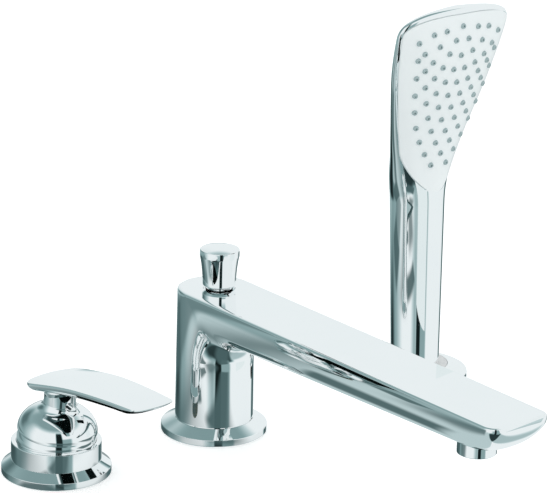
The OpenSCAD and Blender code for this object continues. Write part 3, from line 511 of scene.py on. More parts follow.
def carve(piece, tool, sharp=40):
    """Cuts a closed tool out of a piece and drops the tool."""
    cut = piece.modifiers.new("cut", "BOOLEAN")
    cut.object = tool
    cut.operation = "DIFFERENCE"
    cut.solver = "EXACT"
    bpy.context.view_layer.update()
    mesh = bpy.data.meshes.new_from_object(piece.evaluated_get(bpy.context.evaluated_depsgraph_get()))
    piece.modifiers.clear()
    piece.data = mesh
    mesh.shade_smooth()
    mesh.set_sharp_from_angle(angle=radians(sharp))
    bpy.data.objects.remove(tool)


cavity_r = DOME_R + RUN_GAP
hood_outline = [(sqrt(cavity_r ** 2 - HOOD_RIM_Z ** 2), HOOD_RIM_Z)]
hood_outline += [(r, hood_z(r)) for r in
                 (mix(NECK_R, HOOD_R, cos(pi / 2 * k / HOOD_STEPS)) for k in range(HOOD_STEPS + 1))]
hood_outline += [(NECK_R, NECK_TOP), (0, NECK_TOP), (0, cavity_r)]
hood_outline += [(cavity_r * sin(a), cavity_r * cos(a)) for a in
                 (k / HOOD_STEPS * acos(HOOD_RIM_Z / cavity_r) for k in range(1, HOOD_STEPS))]
lever_place = Matrix.Translation((MIXER_X * MM, 0, PIVOT_Z * MM)) @ Matrix.Rotation(LEVER_TILT, 4, "X")
hood = lathe("lever_hood", hood_outline)
grub_hole = lathe("grub_hole", [(0, 0), (GRUB_HOLE_R, 0), (GRUB_HOLE_R, NECK_R), (0, NECK_R)],
                  turns=GRUB_TURNS)
grub_hole.data.transform(Matrix.Translation((0, -GRUB_SEAT * MM, GRUB_Z * MM))
                         @ Matrix.Rotation(pi / 2, 4, "X"))
carve(hood, grub_hole)
hood.data.transform(lever_place)

BLADE_LEN = 108
BLADE_BACK = 5
BLADE_BACK_W = 45.4
BLADE_TIP_W = 30.8
BLADE_BULGE = 0.2
BLADE_BACK_T = 10.4
BLADE_TIP_T = 7.5
BLADE_Z = 65.9
BLADE_RISE = 11
BLADE_CROWN = 2.2
BLADE_CROWN_BEHIND = 0.4
BLADE_BACK_CROWN = 0.2
BLADE_TIP_CROWN = 0.02
BLADE_EDGE = 0.5
BLADE_LIP = 0.3
# The back end is an arc, and the tip has a small nose that thins over the length of the bow
BLADE_BACK_ARC = 7
BLADE_BACK_NARROW = 0.55
BLADE_BACK_THIN = 0.35
BLADE_NOSE_R = 3
BLADE_NOSE_NARROW = 0.92
BLADE_BOW = 12
BLADE_BOW_THIN = 0.2
BLADE_SIDE_POWER = 0.85
BLADE_UNDER_POWER = 0.9
BLADE_STEPS = 90
BLADE_SIDE_STEPS = 24
BLADE_TOP_COLUMNS = 24


def blade_top(y):
    s = y / (BLADE_LEN - BLADE_BACK)
    return BLADE_Z + BLADE_RISE * s + 4 * BLADE_CROWN * s * (1 - s) * (1 if s > 0 else BLADE_CROWN_BEHIND)


def blade_half(s):
    return mix(BLADE_BACK_W, BLADE_TIP_W, s) / 2 + 4 * BLADE_BULGE * s * (1 - s)


def blade_thick(s):
    return (mix(BLADE_BACK_T, BLADE_TIP_T, s)
            * mix(BLADE_BACK_THIN, 1, sqrt(unit(s * BLADE_LEN / BLADE_BACK_ARC))))


def blade_crown(s):
    return mix(BLADE_BACK_CROWN, BLADE_TIP_CROWN, ease(2 * s))


def blade_section(s):
    """One section across the blade: a faintly crowned top with a crisp edge over a boat-shaped underside."""
    y = -BLADE_BACK + s * BLADE_LEN
    back = unit(s * BLADE_LEN / BLADE_BACK_ARC)
    tip = unit((1 - s) * BLADE_LEN / BLADE_NOSE_R)
    bow = unit((1 - s) * BLADE_LEN / BLADE_BOW)
    half = blade_half(s) * (mix(BLADE_BACK_NARROW, 1, sqrt(1 - (1 - back) ** 2))
                            * mix(BLADE_NOSE_NARROW, 1, sqrt(1 - (1 - tip) ** 2)))
    thick = blade_thick(s) * mix(BLADE_BOW_THIN, 1, sqrt(bow))
    crown = blade_crown(s) * thick
    top = blade_top(y)
    ring = []
    for j in range(BLADE_TOP_COLUMNS + 1):
        u = -1 + 2 * j / BLADE_TOP_COLUMNS
        ring.append((MIXER_X + (half - BLADE_LIP) * u, -y, top - crown * u * u))
    edge_z = top - crown - BLADE_EDGE
    for j in range(BLADE_SIDE_STEPS + 1):
        a = pi * j / BLADE_SIDE_STEPS
        ring.append((MIXER_X + half * signed_power(cos(a), BLADE_SIDE_POWER), -y,
                     edge_z - (thick - crown - BLADE_EDGE) * sin(a) ** BLADE_UNDER_POWER))
    return ring


def loft(name, rings):
    """Skins rings of equal counts of points and closes both ends."""
    count = len(rings[0])
    points = [p for ring in rings for p in ring]
    faces = []
    for i in range(len(rings) - 1):
        for j in range(count):
            k = (j + 1) % count
            faces.append((i * count + j, i * count + k, (i + 1) * count + k, (i + 1) * count + j))
    faces.append(tuple(range(count)))
    faces.append(tuple((len(rings) - 1) * count + j for j in range(count)))
    return solid(name, points, faces)


blade = loft("lever_blade", [blade_section(0.5 - 0.5 * cos(pi * i / BLADE_STEPS))
                             for i in range(BLADE_STEPS + 1)])
dress(blade, chrome, "polished_chrome", "lever", "lever_handle")

FLARE_Z = 32.5
FLARE_R = 4.6
FLARE_INSET = 0.05
FLARE_HEAD_DROP = 3
FLARE_BITE = 0.6
FLARE_STEPS = 12
FLARE_TURNS = 96


def blade_under(x, y):
    """Height of the blade's underside above a point."""
    s = (y + BLADE_BACK) / BLADE_LEN
    thick = blade_thick(s)
    crown = blade_crown(s) * thick
    a = acos(unit(abs(x) / blade_half(s)) ** (1 / BLADE_SIDE_POWER))
    return blade_top(y) - crown - BLADE_EDGE - (thick - crown - BLADE_EDGE) * sin(a) ** BLADE_UNDER_POWER


flare_rings = []
for i in range(FLARE_STEPS + 1):
    out = 1 - cos(pi / 2 * i / FLARE_STEPS)
    up = sin(pi / 2 * i / FLARE_STEPS)
    ring = []
    for k in range(FLARE_TURNS):
        turn = Vector((cos(2 * pi * k / FLARE_TURNS), sin(2 * pi * k / FLARE_TURNS), 0))
        foot = turn * (NECK_R - FLARE_INSET) + Vector((0, 0, FLARE_Z))
        head = turn * (NECK_R + FLARE_R) + Vector((0, 0, NECK_TOP - FLARE_HEAD_DROP))
        foot = lever_place @ (foot * MM) / MM
        head = lever_place @ (head * MM) / MM
        head.z = blade_under(head.x - MIXER_X, -head.y) + FLARE_BITE
        ring.append((mix(foot.x, head.x, out), mix(foot.y, head.y, out), mix(foot.z, head.z, up)))
    flare_rings.append(ring)
dress(loft("lever_neck_fillet", flare_rings), chrome, "polished_chrome", "lever", "lever_handle")
dress(hood, chrome, "polished_chrome", "lever", "lever_handle")

# Spout: column and arm are one hollow brass casting, ground and plated, with a flat top.
# The arm's boat-shaped underside turns down into the column's front in one swept hollow.
SPOUT_TOP_Z = 98.5
COLUMN_TOP_R = 25.3
FOOT_GROOVE = 0.6
REACH = 292
ARM_TIP_HALF = 23.5
ARM_ROOT_D = 32
ARM_D = 25
AERATOR_Y = 254
NOSE_D = 4
NOSE_R = 8
BOW_LEN = 36
HULL_POWER = 2.4
CROTCH_R = 14
CORNER_POWER = 8
CORNER_FADE = 0.4
TOP_EDGE = 1.5
TOP_SOFT = 4.5
SOFT_LEN = 150
RECESS_R = 10.5
RECESS_Z = 95.1
DIVERTER_Y = -3
SPOUT_SHARP = 50
FAR = 1e9
HULL_STEPS = 72
BACK_STEPS = 72
COLUMN_STEPS = 14
BEND_STEPS = 48
ARM_STEPS = 60
BOW_STEPS = 30
EDGE_STEPS = 5


def column_r(z):
    return mix(COLUMN_BASE_R, COLUMN_TOP_R, (z - ROSETTE_H) / (SPOUT_TOP_Z - ROSETTE_H))


def arm_half(y):
    near_tip = min(NOSE_R, REACH - y)
    return (mix(COLUMN_TOP_R, ARM_TIP_HALF, y / REACH) - NOSE_R
            + sqrt(max(0, NOSE_R ** 2 - (NOSE_R - near_tip) ** 2)))


def arm_depth(y):
    rise = unit((REACH - y) / BOW_LEN)
    return mix(NOSE_D, mix(ARM_ROOT_D, ARM_D, unit(y / AERATOR_Y)), sqrt(1 - (1 - rise) ** 2))


def arm_top(y):
    over = max(0, y - (REACH - TOP_EDGE))
    return SPOUT_TOP_Z - TOP_EDGE + sqrt(max(0, TOP_EDGE ** 2 - over ** 2))


# The hollow turns about a level axis in front of the column, and the seam runs round below the top edge
pivot_y = COLUMN_TOP_R + CROTCH_R
hollow_z = SPOUT_TOP_Z - arm_depth(pivot_y) - CROTCH_R
seam_z = SPOUT_TOP_Z - TOP_EDGE
corner_angle = atan2(seam_z - hollow_z, pivot_y)


def hull(half, power, place):
    """The swept underside at one station: place(t) gives y and z at a share t of the depth below the seam."""
    row = []
    for j in range(HULL_STEPS + 1):
        a = pi * j / HULL_STEPS
        y, z = place(sin(a) ** (2 / power))
        row.append((half * signed_power(cos(a), 2 / power), y, z))
    return row


def bend_place(angle):
    ahead_r = pivot_y / cos(angle) if cos(angle) > ON_AXIS else FAR
    above_r = (seam_z - hollow_z) / sin(angle) if sin(angle) > ON_AXIS else FAR
    outer = min(ahead_r, above_r)
    soft = (ahead_r ** -CORNER_POWER + above_r ** -CORNER_POWER) ** (-1 / CORNER_POWER)

    def place(t):
        r = mix(mix(outer, soft, ease(t / CORNER_FADE)), CROTCH_R, t)
        return -pivot_y + r * cos(angle), hollow_z + r * sin(angle)
    return place


def bend_power(angle):
    return mix(2, HULL_POWER, ease(angle / (pi / 2)))


def arm_place(y):
    def place(t):
        return -y, mix(arm_top(y) - TOP_EDGE, SPOUT_TOP_Z - arm_depth(y), t)
    return place


spout_points = []
front_rows = []
back_rows = []


def add_row(row):
    first = len(spout_points)
    spout_points.extend(row)
    return list(range(first, len(spout_points)))


def add_level(z, r, front):
    """One level of the column: its front half as given and a round back half."""
    row = add_row(front)
    back = [(r * cos(pi * k / BACK_STEPS), r * sin(pi * k / BACK_STEPS), z) for k in range(1, BACK_STEPS)]
    front_rows.append(row)
    back_rows.append([row[0]] + add_row(back) + [row[-1]])


def add_round_level(z, r):
    add_level(z, r, [(r * cos(pi * j / HULL_STEPS), -r * sin(pi * j / HULL_STEPS), z)
                     for j in range(HULL_STEPS + 1)])


groove_z = ROSETTE_H + FOOT_GROOVE
add_round_level(ROSETTE_H, COLUMN_BASE_R - FOOT_GROOVE)
add_round_level(groove_z, COLUMN_BASE_R - FOOT_GROOVE)
add_round_level(groove_z, COLUMN_BASE_R)
for i in range(1, COLUMN_STEPS):
    z = mix(groove_z, hollow_z, i / COLUMN_STEPS)
    add_round_level(z, column_r(z))
for i in range(BEND_STEPS + 1):
    angle = corner_angle * i / BEND_STEPS
    place = bend_place(angle)
    z = place(0)[1]
    add_level(z, column_r(z), hull(column_r(z), bend_power(angle), place))

stations = []
for i in range(1, BEND_STEPS + 1):
    angle = mix(corner_angle, pi / 2, i / BEND_STEPS)
    place = bend_place(angle)
    stations.append((-place(0)[0], bend_power(angle), place))
bow_y = REACH - BOW_LEN
arm_ys = [mix(pivot_y, bow_y, i / ARM_STEPS) for i in range(1, ARM_STEPS + 1)]
arm_ys += [bow_y + BOW_LEN * sin(pi / 2 * i / BOW_STEPS) for i in range(1, BOW_STEPS + 1)]
stations += [(y, HULL_POWER, arm_place(y)) for y in arm_ys]
arm_rows = front_rows[-1:]
for y, power, place in stations:
    arm_rows.append(add_row(hull(arm_half(y), power, place)))
front_rows += arm_rows[1:]

spout_faces = []
for rows in (front_rows, back_rows):
    for a, b in zip(rows, rows[1:]):
        spout_faces += [(a[j], a[j + 1], b[j + 1], b[j]) for j in range(len(a) - 1)]
spout_faces.append(tuple(front_rows[0] + back_rows[0][-2:0:-1]))

# The top edge is rounded from the seam inwards, softer over the column than at the tip
loops = [[row[0] for row in arm_rows[::-1]] + back_rows[-1][1:-1] + [row[-1] for row in arm_rows]]
for k in range(1, EDGE_STEPS + 1):
    b = pi / 2 * k / EDGE_STEPS
    ring = []
    for x, y, z in [spout_points[v] for v in loops[0]]:
        inset = mix(TOP_SOFT, TOP_EDGE, unit(-y / SOFT_LEN)) * (1 - cos(b))
        if y >= 0:
            shrink = (COLUMN_TOP_R - inset) / hypot(x, y)
            ring.append((x * shrink, y * shrink, seam_z + TOP_EDGE * sin(b)))
        else:
            half = max(0.0, abs(x) - inset)
            rise = (arm_top(-y) - (SPOUT_TOP_Z - TOP_EDGE)) * sin(b)
            ring.append(((1 if x > 0 else -1) * half, y, z + rise))
    loops.append(add_row(ring))
for a, b in zip(loops, loops[1:]):
    spout_faces += [(a[j], a[j + 1], b[j + 1], b[j]) for j in range(len(a) - 1)]
spout_faces.append(tuple(loops[-1]))
spout_faces.append(tuple(front_rows[-1]) + tuple(loop[-1] for loop in loops[1:])
                   + tuple(loop[0] for loop in loops[:0:-1]))
spout = solid("spout_body_plated", spout_points, spout_faces, SPOUT_SHARP)
recess = lathe("knob_recess", [(0, RECESS_Z), (RECESS_R, RECESS_Z), (RECESS_R, SPOUT_TOP_Z + 1),
                               (0, SPOUT_TOP_Z + 1)], (0, DIVERTER_Y, 0))
carve(spout, recess, SPOUT_SHARP)
dress(spout, chrome, "polished_chrome", "root", "spout_body")

# Diverter knob: a turned brass pull knob, plated, screwed on the diverter's rod.
# Its foot sits in a shallow recess of the spout's flat top.
KNOB_Z = 95.4
KNOB_H = 32
KNOB_RIM_R = 13
KNOB_WAIST_R = 11
KNOB_FOOT_R = 8.8
KNOB_FOOT_H = 4
KNOB_RIM_H = 4
KNOB_CAP_H = 2
KNOB_FOOT_EDGE = 0.4
KNOB_NECK_EDGE = 0.1
KNOB_WAIST_EDGE = 0.3
KNOB_CAP_EDGE = 0.6
KNOB_STEPS = 20
waist_z = KNOB_FOOT_H + KNOB_WAIST_R - KNOB_FOOT_R
rim_z = KNOB_H - KNOB_CAP_H - KNOB_RIM_H
cap_z = KNOB_H - KNOB_CAP_H
cap_r = KNOB_RIM_R - KNOB_CAP_EDGE
knob_outline = [(0, 0), (KNOB_FOOT_R - KNOB_FOOT_EDGE, 0), (KNOB_FOOT_R, KNOB_FOOT_EDGE),
                (KNOB_FOOT_R, KNOB_FOOT_H - 2 * KNOB_NECK_EDGE), (KNOB_FOOT_R + KNOB_NECK_EDGE, KNOB_FOOT_H),
                (KNOB_WAIST_R - KNOB_WAIST_EDGE, waist_z - KNOB_WAIST_EDGE), (KNOB_WAIST_R - 0.08, waist_z)]
knob_outline += [(mix(KNOB_WAIST_R, KNOB_RIM_R, (k / KNOB_STEPS) ** 2),
                  mix(waist_z + KNOB_WAIST_EDGE, rim_z, k / KNOB_STEPS)) for k in range(KNOB_STEPS + 1)]
knob_outline += [(KNOB_RIM_R, cap_z - KNOB_CAP_EDGE), (KNOB_RIM_R - 0.1, cap_z - 0.25),
                 (KNOB_RIM_R - 0.35, cap_z)]
knob_outline += [(cap_r * cos(pi / 2 * k / KNOB_STEPS), KNOB_H - KNOB_CAP_H * cos(pi / 2 * k / KNOB_STEPS) ** 2)
                 for k in range(1, KNOB_STEPS)]
knob_outline += [(0, KNOB_H)]
knob = lathe("diverter_knob_plated", knob_outline, (0, DIVERTER_Y, KNOB_Z))
dress(knob, chrome, "polished_chrome", "diverter", "diverter_knob")

# Aerator housing: a short threaded chrome ring, screwed into the arm from below.
# A narrow lip at its mouth holds the insert that mixes air into the water.
AERATOR_Z = 67.5
AERATOR_H = 12
AERATOR_R = 12
AERATOR_WALL = 1.8
AERATOR_LIP = 1
AERATOR_EDGE = 0.5
AERATOR_LIP_EDGE = 0.2
aerator_bore_r = AERATOR_R - AERATOR_WALL
aerator = lathe("aerator_housing_plated", rounded([
    (aerator_bore_r - AERATOR_LIP, 0, AERATOR_LIP_EDGE), (AERATOR_R, 0, AERATOR_EDGE), (AERATOR_R, AERATOR_H, 0),
    (aerator_bore_r, AERATOR_H, 0), (aerator_bore_r, AERATOR_LIP, 0),
    (aerator_bore_r - AERATOR_LIP, AERATOR_LIP, 0)]), (0, -AERATOR_Y, AERATOR_Z))
dress(aerator, chrome, "polished_chrome", "root", "aerator_housing")

# Hand shower: a moulded shell with a round grip that fans out to a flat head, chrome plated.
# The head leans towards the bather and ends in a soft, nearly square cap.
HANDSET_Z = 9.5
HANDSET_LEN = 259.5
GRIP_R0 = 16.7
GRIP_R1 = 19.0
GRIP_LEN = 125
GRIP_LEAN = radians(2)
HEAD_HALF_W = 47.5
HEAD_CAP_H = 17
HEAD_BACK_T = 12.5
HEAD_BLEND = 8
HEAD_SWELL = 0.68
FACE_REACH = 19.8
FACE_CROWN = 16.5
FACE_START = 5.5
FACE_STOP = 2
CROWN_FADE = 60
CROWN_FADE_BELOW = 37
CAP_POWER = 2.6
CAP_END = 0.985
CAP_CLOSE = 0.9998
CAP_THIN = 0.6
PLATE_ROUND = 30
SHELL_POINTS = 160
GRIP_STEPS = 30
HEAD_STEPS = 90
CAP_STEPS = 36
handset_top = HANDSET_Z + HANDSET_LEN
head_z = HANDSET_Z + GRIP_LEN
shoulder_z = handset_top - HEAD_CAP_H
face_z = head_z + FACE_START
face_len = shoulder_z - face_z - FACE_STOP
crown_fade_z = shoulder_z - CROWN_FADE_BELOW


def soft_ramp(x, k):
    return 0 if x <= -k else x if x >= k else (x + k) ** 2 / (4 * k)


def cap_round(c):
    return (1 - unit(c) ** CAP_POWER) ** (1 / CAP_POWER)


def grip_r(z):
    return mix(GRIP_R0, GRIP_R1, unit((z - HANDSET_Z) / GRIP_LEN))


def fan_half(z):
    u = unit(soft_ramp(z - head_z, HEAD_BLEND) / (shoulder_z - head_z))
    return grip_r(z) + (HEAD_HALF_W - GRIP_R1) * u * (1 + HEAD_SWELL * u * (1 - u))


def front_y(z):
    g = min(z, head_z)
    return (g - HANDSET_Z) * tan(GRIP_LEAN) - grip_r(g) - FACE_REACH * ease((z - face_z) / face_len)


def front_depth(z):
    return (mix(grip_r(z), FACE_CROWN, ease((z - head_z) / PLATE_ROUND))
            * (1 - (max(0, z - crown_fade_z) / CROWN_FADE) ** 2))


def back_depth(z):
    return (mix(grip_r(z), HEAD_BACK_T, ease((z - head_z) / (2 * PLATE_ROUND)))
            * (1 - CAP_THIN * unit((z - shoulder_z) / HEAD_CAP_H) ** 2))


def shell_ring(z):
    half = fan_half(z) * cap_round((z - shoulder_z) / HEAD_CAP_H / CAP_END)
    front = front_depth(z)
    back = back_depth(z)
    middle = front_y(z) + front
    return [(SHOWER_X + half * cos(a), middle + (front if sin(a) < 0 else back) * sin(a), z)
            for a in (2 * pi * j / SHELL_POINTS for j in range(SHELL_POINTS))]


cap_h = CAP_CLOSE * CAP_END * HEAD_CAP_H
shell_zs = [mix(HANDSET_Z, head_z - HEAD_BLEND, i / GRIP_STEPS) for i in range(GRIP_STEPS + 1)]
shell_zs += [mix(head_z - HEAD_BLEND, shoulder_z, i / HEAD_STEPS) for i in range(1, HEAD_STEPS + 1)]
shell_zs += [shoulder_z + cap_h * sin(pi / 2 * i / CAP_STEPS) for i in range(1, CAP_STEPS + 1)]
shell = loft("handset_shell_plated", [shell_ring(z) for z in shell_zs])

# Flags: two black cloths of the studio, which draw dark lines in the chrome as in a product shot.
# One stands upright to the left of the head and darkens its rim. The other lies level below the
# lever's blade, shows only from above and darkens the blade's underside.
RIM_FLAG_Z = (186, 262)
RIM_FLAG_BEARINGS = (-46, -24)
RIM_FLAG_OFF = 100
RIM_FLAG_DEPTH = 0.7
RIM_FLAG_STEPS = 10
LOW_FLAG_X = (-152, -104)
LOW_FLAG_Y = (-98, -24)
LOW_FLAG_Z = 44


def black_cloth(name):
    material = bpy.data.materials.new(name)
    material.use_nodes = True
    shader = material.node_tree.nodes["Principled BSDF"]
    shader.inputs["Base Color"].default_value = (0.003, 0.006, 0.006, 1)
    shader.inputs["Specular IOR Level"].default_value = 0
    shader.inputs["Roughness"].default_value = 1
    return material


rim_points = []
for i in range(RIM_FLAG_STEPS + 1):
    z = mix(*RIM_FLAG_Z, i / RIM_FLAG_STEPS)
    edge = Vector((SHOWER_X - fan_half(min(z, shoulder_z)), front_y(z) + front_depth(z) * RIM_FLAG_DEPTH, z))
    for b in map(radians, RIM_FLAG_BEARINGS):
        away = Vector((sin(VIEW_AZIMUTH + b), -cos(VIEW_AZIMUTH + b), -tan(VIEW_ELEVATION)))
        rim_points.append((edge + RIM_FLAG_OFF * away) * MM)
rim_flag = sheet("rim_flag", rim_points,
                 [(2 * i, 2 * i + 1, 2 * i + 3, 2 * i + 2) for i in range(RIM_FLAG_STEPS)])
rim_flag.data.materials.append(black_cloth("black_cloth"))
chrome_only(rim_flag)
low_flag = sheet("low_flag", [(LOW_FLAG_X[i] * MM, LOW_FLAG_Y[j] * MM, LOW_FLAG_Z * MM)
                              for i, j in ((0, 0), (1, 0), (1, 1), (0, 1))])
low_cloth = black_cloth("one_sided_cloth")
tree = low_cloth.node_tree
tree.links.new(studio_math("SUBTRACT", 1, studio_node("ShaderNodeNewGeometry").outputs["Backfacing"]),
               tree.nodes["Principled BSDF"].inputs["Alpha"])
low_flag.data.materials.append(low_cloth)
chrome_only(low_flag)

# Spray plate: white moulded plastic, glossy, with a cool cast, clipped into the shell's face.
# It follows the shell's own crown, a hair proud of it, with a fine gap all round.
PLATE_T = 2.5
PLATE_FOOT = 2
PLATE_PROUD = 0.25
PLATE_GAP = 0.5
POCKET_DEEPER = 0.1
RIM_W = 1.7
RIM_TOP = 4.5
PLATE_END = 0.001
PLATE_STEPS = 80
PLATE_COLUMNS = 60
plate_z0 = head_z + PLATE_FOOT
plate_top = handset_top - RIM_TOP
plate_len = plate_top - plate_z0
plate_white = finish("plate_white", 40, ((0.88, 0.935, 0.942), (0.87, 0.928, 0.936)), 120, (0.34, 0.4))


def face_y(x, z):
    return front_y(z) + front_depth(z) * (1 - sqrt(max(0, 1 - (x / fan_half(z)) ** 2)))


def plate_half(z):
    b = unit((z - plate_z0) / PLATE_ROUND)
    return ((fan_half(z) - RIM_W) * sqrt(1 - (1 - b) ** 2)
            * cap_round((z - shoulder_z) / (HEAD_CAP_H - RIM_TOP)))


def plate_slab(name, grow, proud, deep):
    """A slab that follows the face: grown all round, from so far before the face to so deep behind it."""
    rings = []
    for i in range(PLATE_STEPS + 1):
        z = mix(plate_z0, plate_top, mix(PLATE_END, 1 - PLATE_END, 0.5 - 0.5 * cos(pi * i / PLATE_STEPS)))
        half = plate_half(z) + grow
        grown_z = z + grow * (2 * (z - plate_z0) / plate_len - 1)
        xs = [-half * cos(pi * j / PLATE_COLUMNS) for j in range(PLATE_COLUMNS + 1)]
        rings.append([(SHOWER_X + x, face_y(x, z) - proud, grown_z) for x in xs]
                     + [(SHOWER_X + x, face_y(x, z) + deep, grown_z) for x in reversed(xs)])
    return loft(name, rings)


plate = plate_slab("spray_plate", 0, PLATE_PROUD, PLATE_T)
carve(shell, plate_slab("plate_pocket", PLATE_GAP, PLATE_T, PLATE_T + POCKET_DEEPER))
dress(shell, chrome, "polished_chrome", "handset", "handset_shell")
dress(plate, plate_white, "white_plate", "handset", "handset_face_plate")

# Nozzles: one grey silicone mat behind the plate, whose nubs stand out through the plate's holes.
# They hang in arcs, each row one longer than the row below it up to the longest.
NOZZLE_R = 2.0
NOZZLE_TIP_R = 1.5
NOZZLE_H = 1.5
NOZZLE_ROOT = 2
NOZZLE_SHOULDER = 0.1
NOZZLE_TIP_EDGE = 0.4
ORIFICE_R = 0.75
ORIFICE_DEPTH = 2.2
ORIFICE_DISH = 0.1
ORIFICE_EDGE = 0.15
NOZZLE_ROWS = 9
NOZZLES_ABOVE = (7, 4, 1)
NOZZLE_PITCH = 9.6
NOZZLE_PITCH_LOW = 13.2
NOZZLE_PITCH_STEP = 0.8
NOZZLE_BOW = 0.0258
NOZZLE_BOW_LEAST = 0.001
NOZZLE_CENTRE_UP = 10
# The rows' places as shares of the plate's length: the first row, the step and its growth by row
FIRST_ROW_SHARE = 0.158
ROW_STEP_SHARE = 0.0617
ROW_GROWTH_SHARE = 0.00082
SLOPE_STEP = 0.1
NUB_TURNS = 32
nozzle_centre_z = shoulder_z + NOZZLE_CENTRE_UP
silicone = finish("grey_silicone", 600, ((0.36, 0.47, 0.48), (0.41, 0.52, 0.53)), 900, (0.35, 0.5))


def row_z(row):
    return (plate_z0 + FIRST_ROW_SHARE * plate_len
            + row * (ROW_STEP_SHARE * plate_len + ROW_GROWTH_SHARE * plate_len * row))


def nozzle_row(count, row):
    t = row / (NOZZLE_ROWS - 1)
    if t > 1:
        bow = 1 / (nozzle_centre_z - row_z(row))
    else:
        bow = max(NOZZLE_BOW_LEAST, NOZZLE_BOW * (1 - (1 - t) ** 2))
    pitch = mix(NOZZLE_PITCH_LOW, NOZZLE_PITCH, min(1, t)) + max(0, row - NOZZLE_ROWS + 1) * NOZZLE_PITCH_STEP
    angles = [(i - (count - 1) / 2) * pitch * bow for i in range(count)]
    return [(sin(a) / bow, row_z(row) + (1 - cos(a)) / bow) for a in angles]


nozzle_places = [p for row in range(NOZZLE_ROWS) for p in nozzle_row(row + 2, row)]
nozzle_places += [p for i, count in enumerate(NOZZLES_ABOVE) for p in nozzle_row(count, NOZZLE_ROWS + i)]
nub = rounded([(0, -NOZZLE_ROOT, 0), (NOZZLE_R, -NOZZLE_ROOT, 0), (NOZZLE_R, NOZZLE_SHOULDER, NOZZLE_SHOULDER),
               (NOZZLE_TIP_R, NOZZLE_H, NOZZLE_TIP_EDGE), (ORIFICE_R, NOZZLE_H - ORIFICE_DISH, ORIFICE_EDGE),
               (ORIFICE_R, NOZZLE_H - ORIFICE_DEPTH, 0), (0, NOZZLE_H - ORIFICE_DEPTH, 0)])
nub_points = []
nub_faces = []
for x, z in nozzle_places:
    slope_x = (face_y(x + SLOPE_STEP, z) - face_y(x - SLOPE_STEP, z)) / 2 / SLOPE_STEP
    slope_z = (face_y(x, z + SLOPE_STEP) - face_y(x, z - SLOPE_STEP)) / 2 / SLOPE_STEP
    turn = Vector((slope_x, -1, slope_z)).normalized().to_track_quat("Z", "Y").to_matrix()
    at = Vector((SHOWER_X + x, face_y(x, z) - PLATE_PROUD, z))
    nub_faces += ring_faces(turn_outline(nub_points, nub, NUB_TURNS,
                                         lambda *local: at + turn @ Vector(local)))
nozzles = solid("spray_nozzles", nub_points, nub_faces)
dress(nozzles, silicone, "grey_silicone", "handset", "handset_nozzles")

# Brass parts: the valve body, shanks, nuts and diverter valve, turned from bar and left bare.
# They keep the CAD's own form and get the lathe's fine rings. The hose's connector is plated.
TURNING_STRENGTH = 0.4
turning = bpy.data.node_groups.new("turning_marks", "ShaderNodeTree")
for socket in ("Rings per metre", "Waver"):
    turning.interface.new_socket(socket, in_out="INPUT", socket_type="NodeSocketFloat")
turning.interface.new_socket("Height", in_out="OUTPUT", socket_type="NodeSocketFloat")
turning_in = turning.nodes.new("NodeGroupInput")
turning_wave = turning.nodes.new("ShaderNodeTexWave")
turning_wave.bands_direction = "Z"
turning.links.new(turning.nodes.new("ShaderNodeTexCoord").outputs["Object"], turning_wave.inputs["Vector"])
turning.links.new(turning_in.outputs["Rings per metre"], turning_wave.inputs["Scale"])
turning.links.new(turning_in.outputs["Waver"], turning_wave.inputs["Distortion"])
turning.links.new(turning_wave.outputs["Fac"], turning.nodes.new("NodeGroupOutput").inputs["Height"])


def turn_marks(material, rings, waver, depth):
    """Cuts fine lathe rings into a material's surface."""
    nodes = material.node_tree.nodes
    marks = nodes.new("ShaderNodeGroup")
    marks.node_tree = turning
    for socket, value in zip(marks.inputs, (rings, waver)):
        socket.default_value = value
    bump = nodes.new("ShaderNodeBump")
    bump.inputs["Distance"].default_value = depth
    bump.inputs["Strength"].default_value = TURNING_STRENGTH
    material.node_tree.links.new(marks.outputs["Height"], bump.inputs["Height"])
    material.node_tree.links.new(bump.outputs["Normal"], nodes["Principled BSDF"].inputs["Normal"])


def finish_nodes(material, *names):
    """Gives CAD parts that show as they are a finish of their own."""
    for name in names:
        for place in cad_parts[name].material_slots:
            place.material = material


brass = finish("turned_brass", 150, ((0.72, 0.58, 0.30), (0.60, 0.46, 0.22)), 300, (0.25, 0.42), 1.0)
turn_marks(brass, 900, 1.5, 0.00004)
finish_nodes(brass, "mixer_valve_body", "cartridge_nut", "mixer_fixing_nut", "spout_shank", "diverter_cage",
             "diverter_plunger", "diverter_gland", "spout_fixing_nut", "holder_shank", "shower_fixing_nut")
finish_nodes(chrome, "handset_connector")

# Steel parts: pins, washers, the diverter's rod and the grub screw in the lever's neck.
# Stainless steel, turned or drawn, a little greyer than the chrome.
steel = finish("stainless_steel", 200, ((0.42, 0.44, 0.45), (0.34, 0.36, 0.37)), 500, (0.24, 0.4), 1.0)
turn_marks(steel, 1400, 0.8, 0.00003)
finish_nodes(steel, "cartridge_pivot_pin", "cartridge_spindle", "lever_grub_screw", "mixer_deck_washer",
             "diverter_rod", "spout_deck_washer", "shower_deck_washer")

# Return spring: one steel wire wound round the diverter's rod, with a closed turn at each end.
# It rides on the plunger against the gland. In the real valve it shortens as the knob is pulled; here it is one
# fixed coil that moves with the diverter.
SPRING_R = 4.5
SPRING_WIRE_R = 0.6
SPRING_TURNS = 9
SPRING_STEPS = 32
SPRING_SIDES = 12
SPRING_CLOSED = 1.25
SPRING_FOOT_Z = 33.0
SPRING_HEAD_Z = 84.1
wire_foot_z = SPRING_FOOT_Z + 1.5 * SPRING_WIRE_R
open_len = SPRING_HEAD_Z - SPRING_FOOT_Z - 2 * SPRING_CLOSED - 3 * SPRING_WIRE_R


def spring_rise(turn):
    return (SPRING_CLOSED * (unit(turn) + unit(turn - SPRING_TURNS + 1))
            + open_len * unit((turn - 1) / (SPRING_TURNS - 2)))


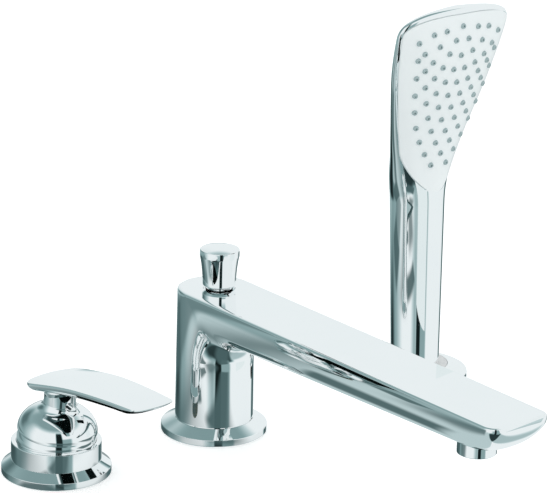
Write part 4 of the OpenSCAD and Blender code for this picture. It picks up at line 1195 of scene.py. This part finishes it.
coils = []
for i in range(SPRING_TURNS * SPRING_STEPS + 1):
    a = 2 * pi * i / SPRING_STEPS
    z = wire_foot_z + spring_rise(i / SPRING_STEPS)
    coil = []
    for k in range(SPRING_SIDES):
        b = 2 * pi * k / SPRING_SIDES
        r = SPRING_R + SPRING_WIRE_R * cos(b)
        coil.append((r * cos(a), DIVERTER_Y + r * sin(a), z + SPRING_WIRE_R * sin(b)))
    coils.append(coil)
spring = dress(loft("return_spring", coils), steel, "plain_steel", "diverter", "diverter_spring")
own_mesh(spring)

# Rubber parts: gaskets, deck seals and O-rings, moulded in black with a dull, faintly grained skin.
# They are squeezed between the metal parts.
rubber = finish("black_rubber", 800, ((0.040, 0.041, 0.043), (0.065, 0.066, 0.070)), 1500, (0.55, 0.8))
finish_nodes(rubber, "mixer_gasket", "cartridge_seals", "mixer_deck_seal", "spout_gasket", "diverter_seals",
             "diverter_o_ring", "aerator_seal", "spout_deck_seal", "shower_gasket", "handset_seal",
             "shower_deck_seal")

# Ceramic discs: two lapped discs of alumina that slide on each other in the cartridge.
# Their faces are flat and nearly polished.
ceramic = finish("lapped_ceramic", 700, ((0.93, 0.92, 0.88), (0.89, 0.87, 0.82)), 900, (0.12, 0.22))
finish_nodes(ceramic, "ceramic_fixed_disc", "ceramic_moving_disc")

# Inner plastic parts: cartridge housing and carrier, aerator insert, the handset's seat and its waterway.
# Moulded in greyish white, with a fine matt skin.
plastic = finish("moulded_plastic", 250, ((0.80, 0.81, 0.81), (0.74, 0.755, 0.76)), 1200, (0.4, 0.58))
finish_nodes(plastic, "cartridge_housing", "cartridge_carrier", "aerator_insert", "holder_insert",
             "handset_waterway")

# Sight lines: the chrome shows neither the parts below the deck, which the rim would hide,
# nor the hand shower behind the spout.
for node in ("mixer_valve_body", "mixer_deck_seal", "mixer_deck_washer", "mixer_fixing_nut", "spout_shank",
             "spout_deck_seal", "spout_deck_washer", "spout_fixing_nut", "holder_shank", "shower_deck_seal",
             "shower_deck_washer", "shower_fixing_nut"):
    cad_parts[node].visible_glossy = False
for piece in (shell, plate, nozzles):
    piece.visible_glossy = False
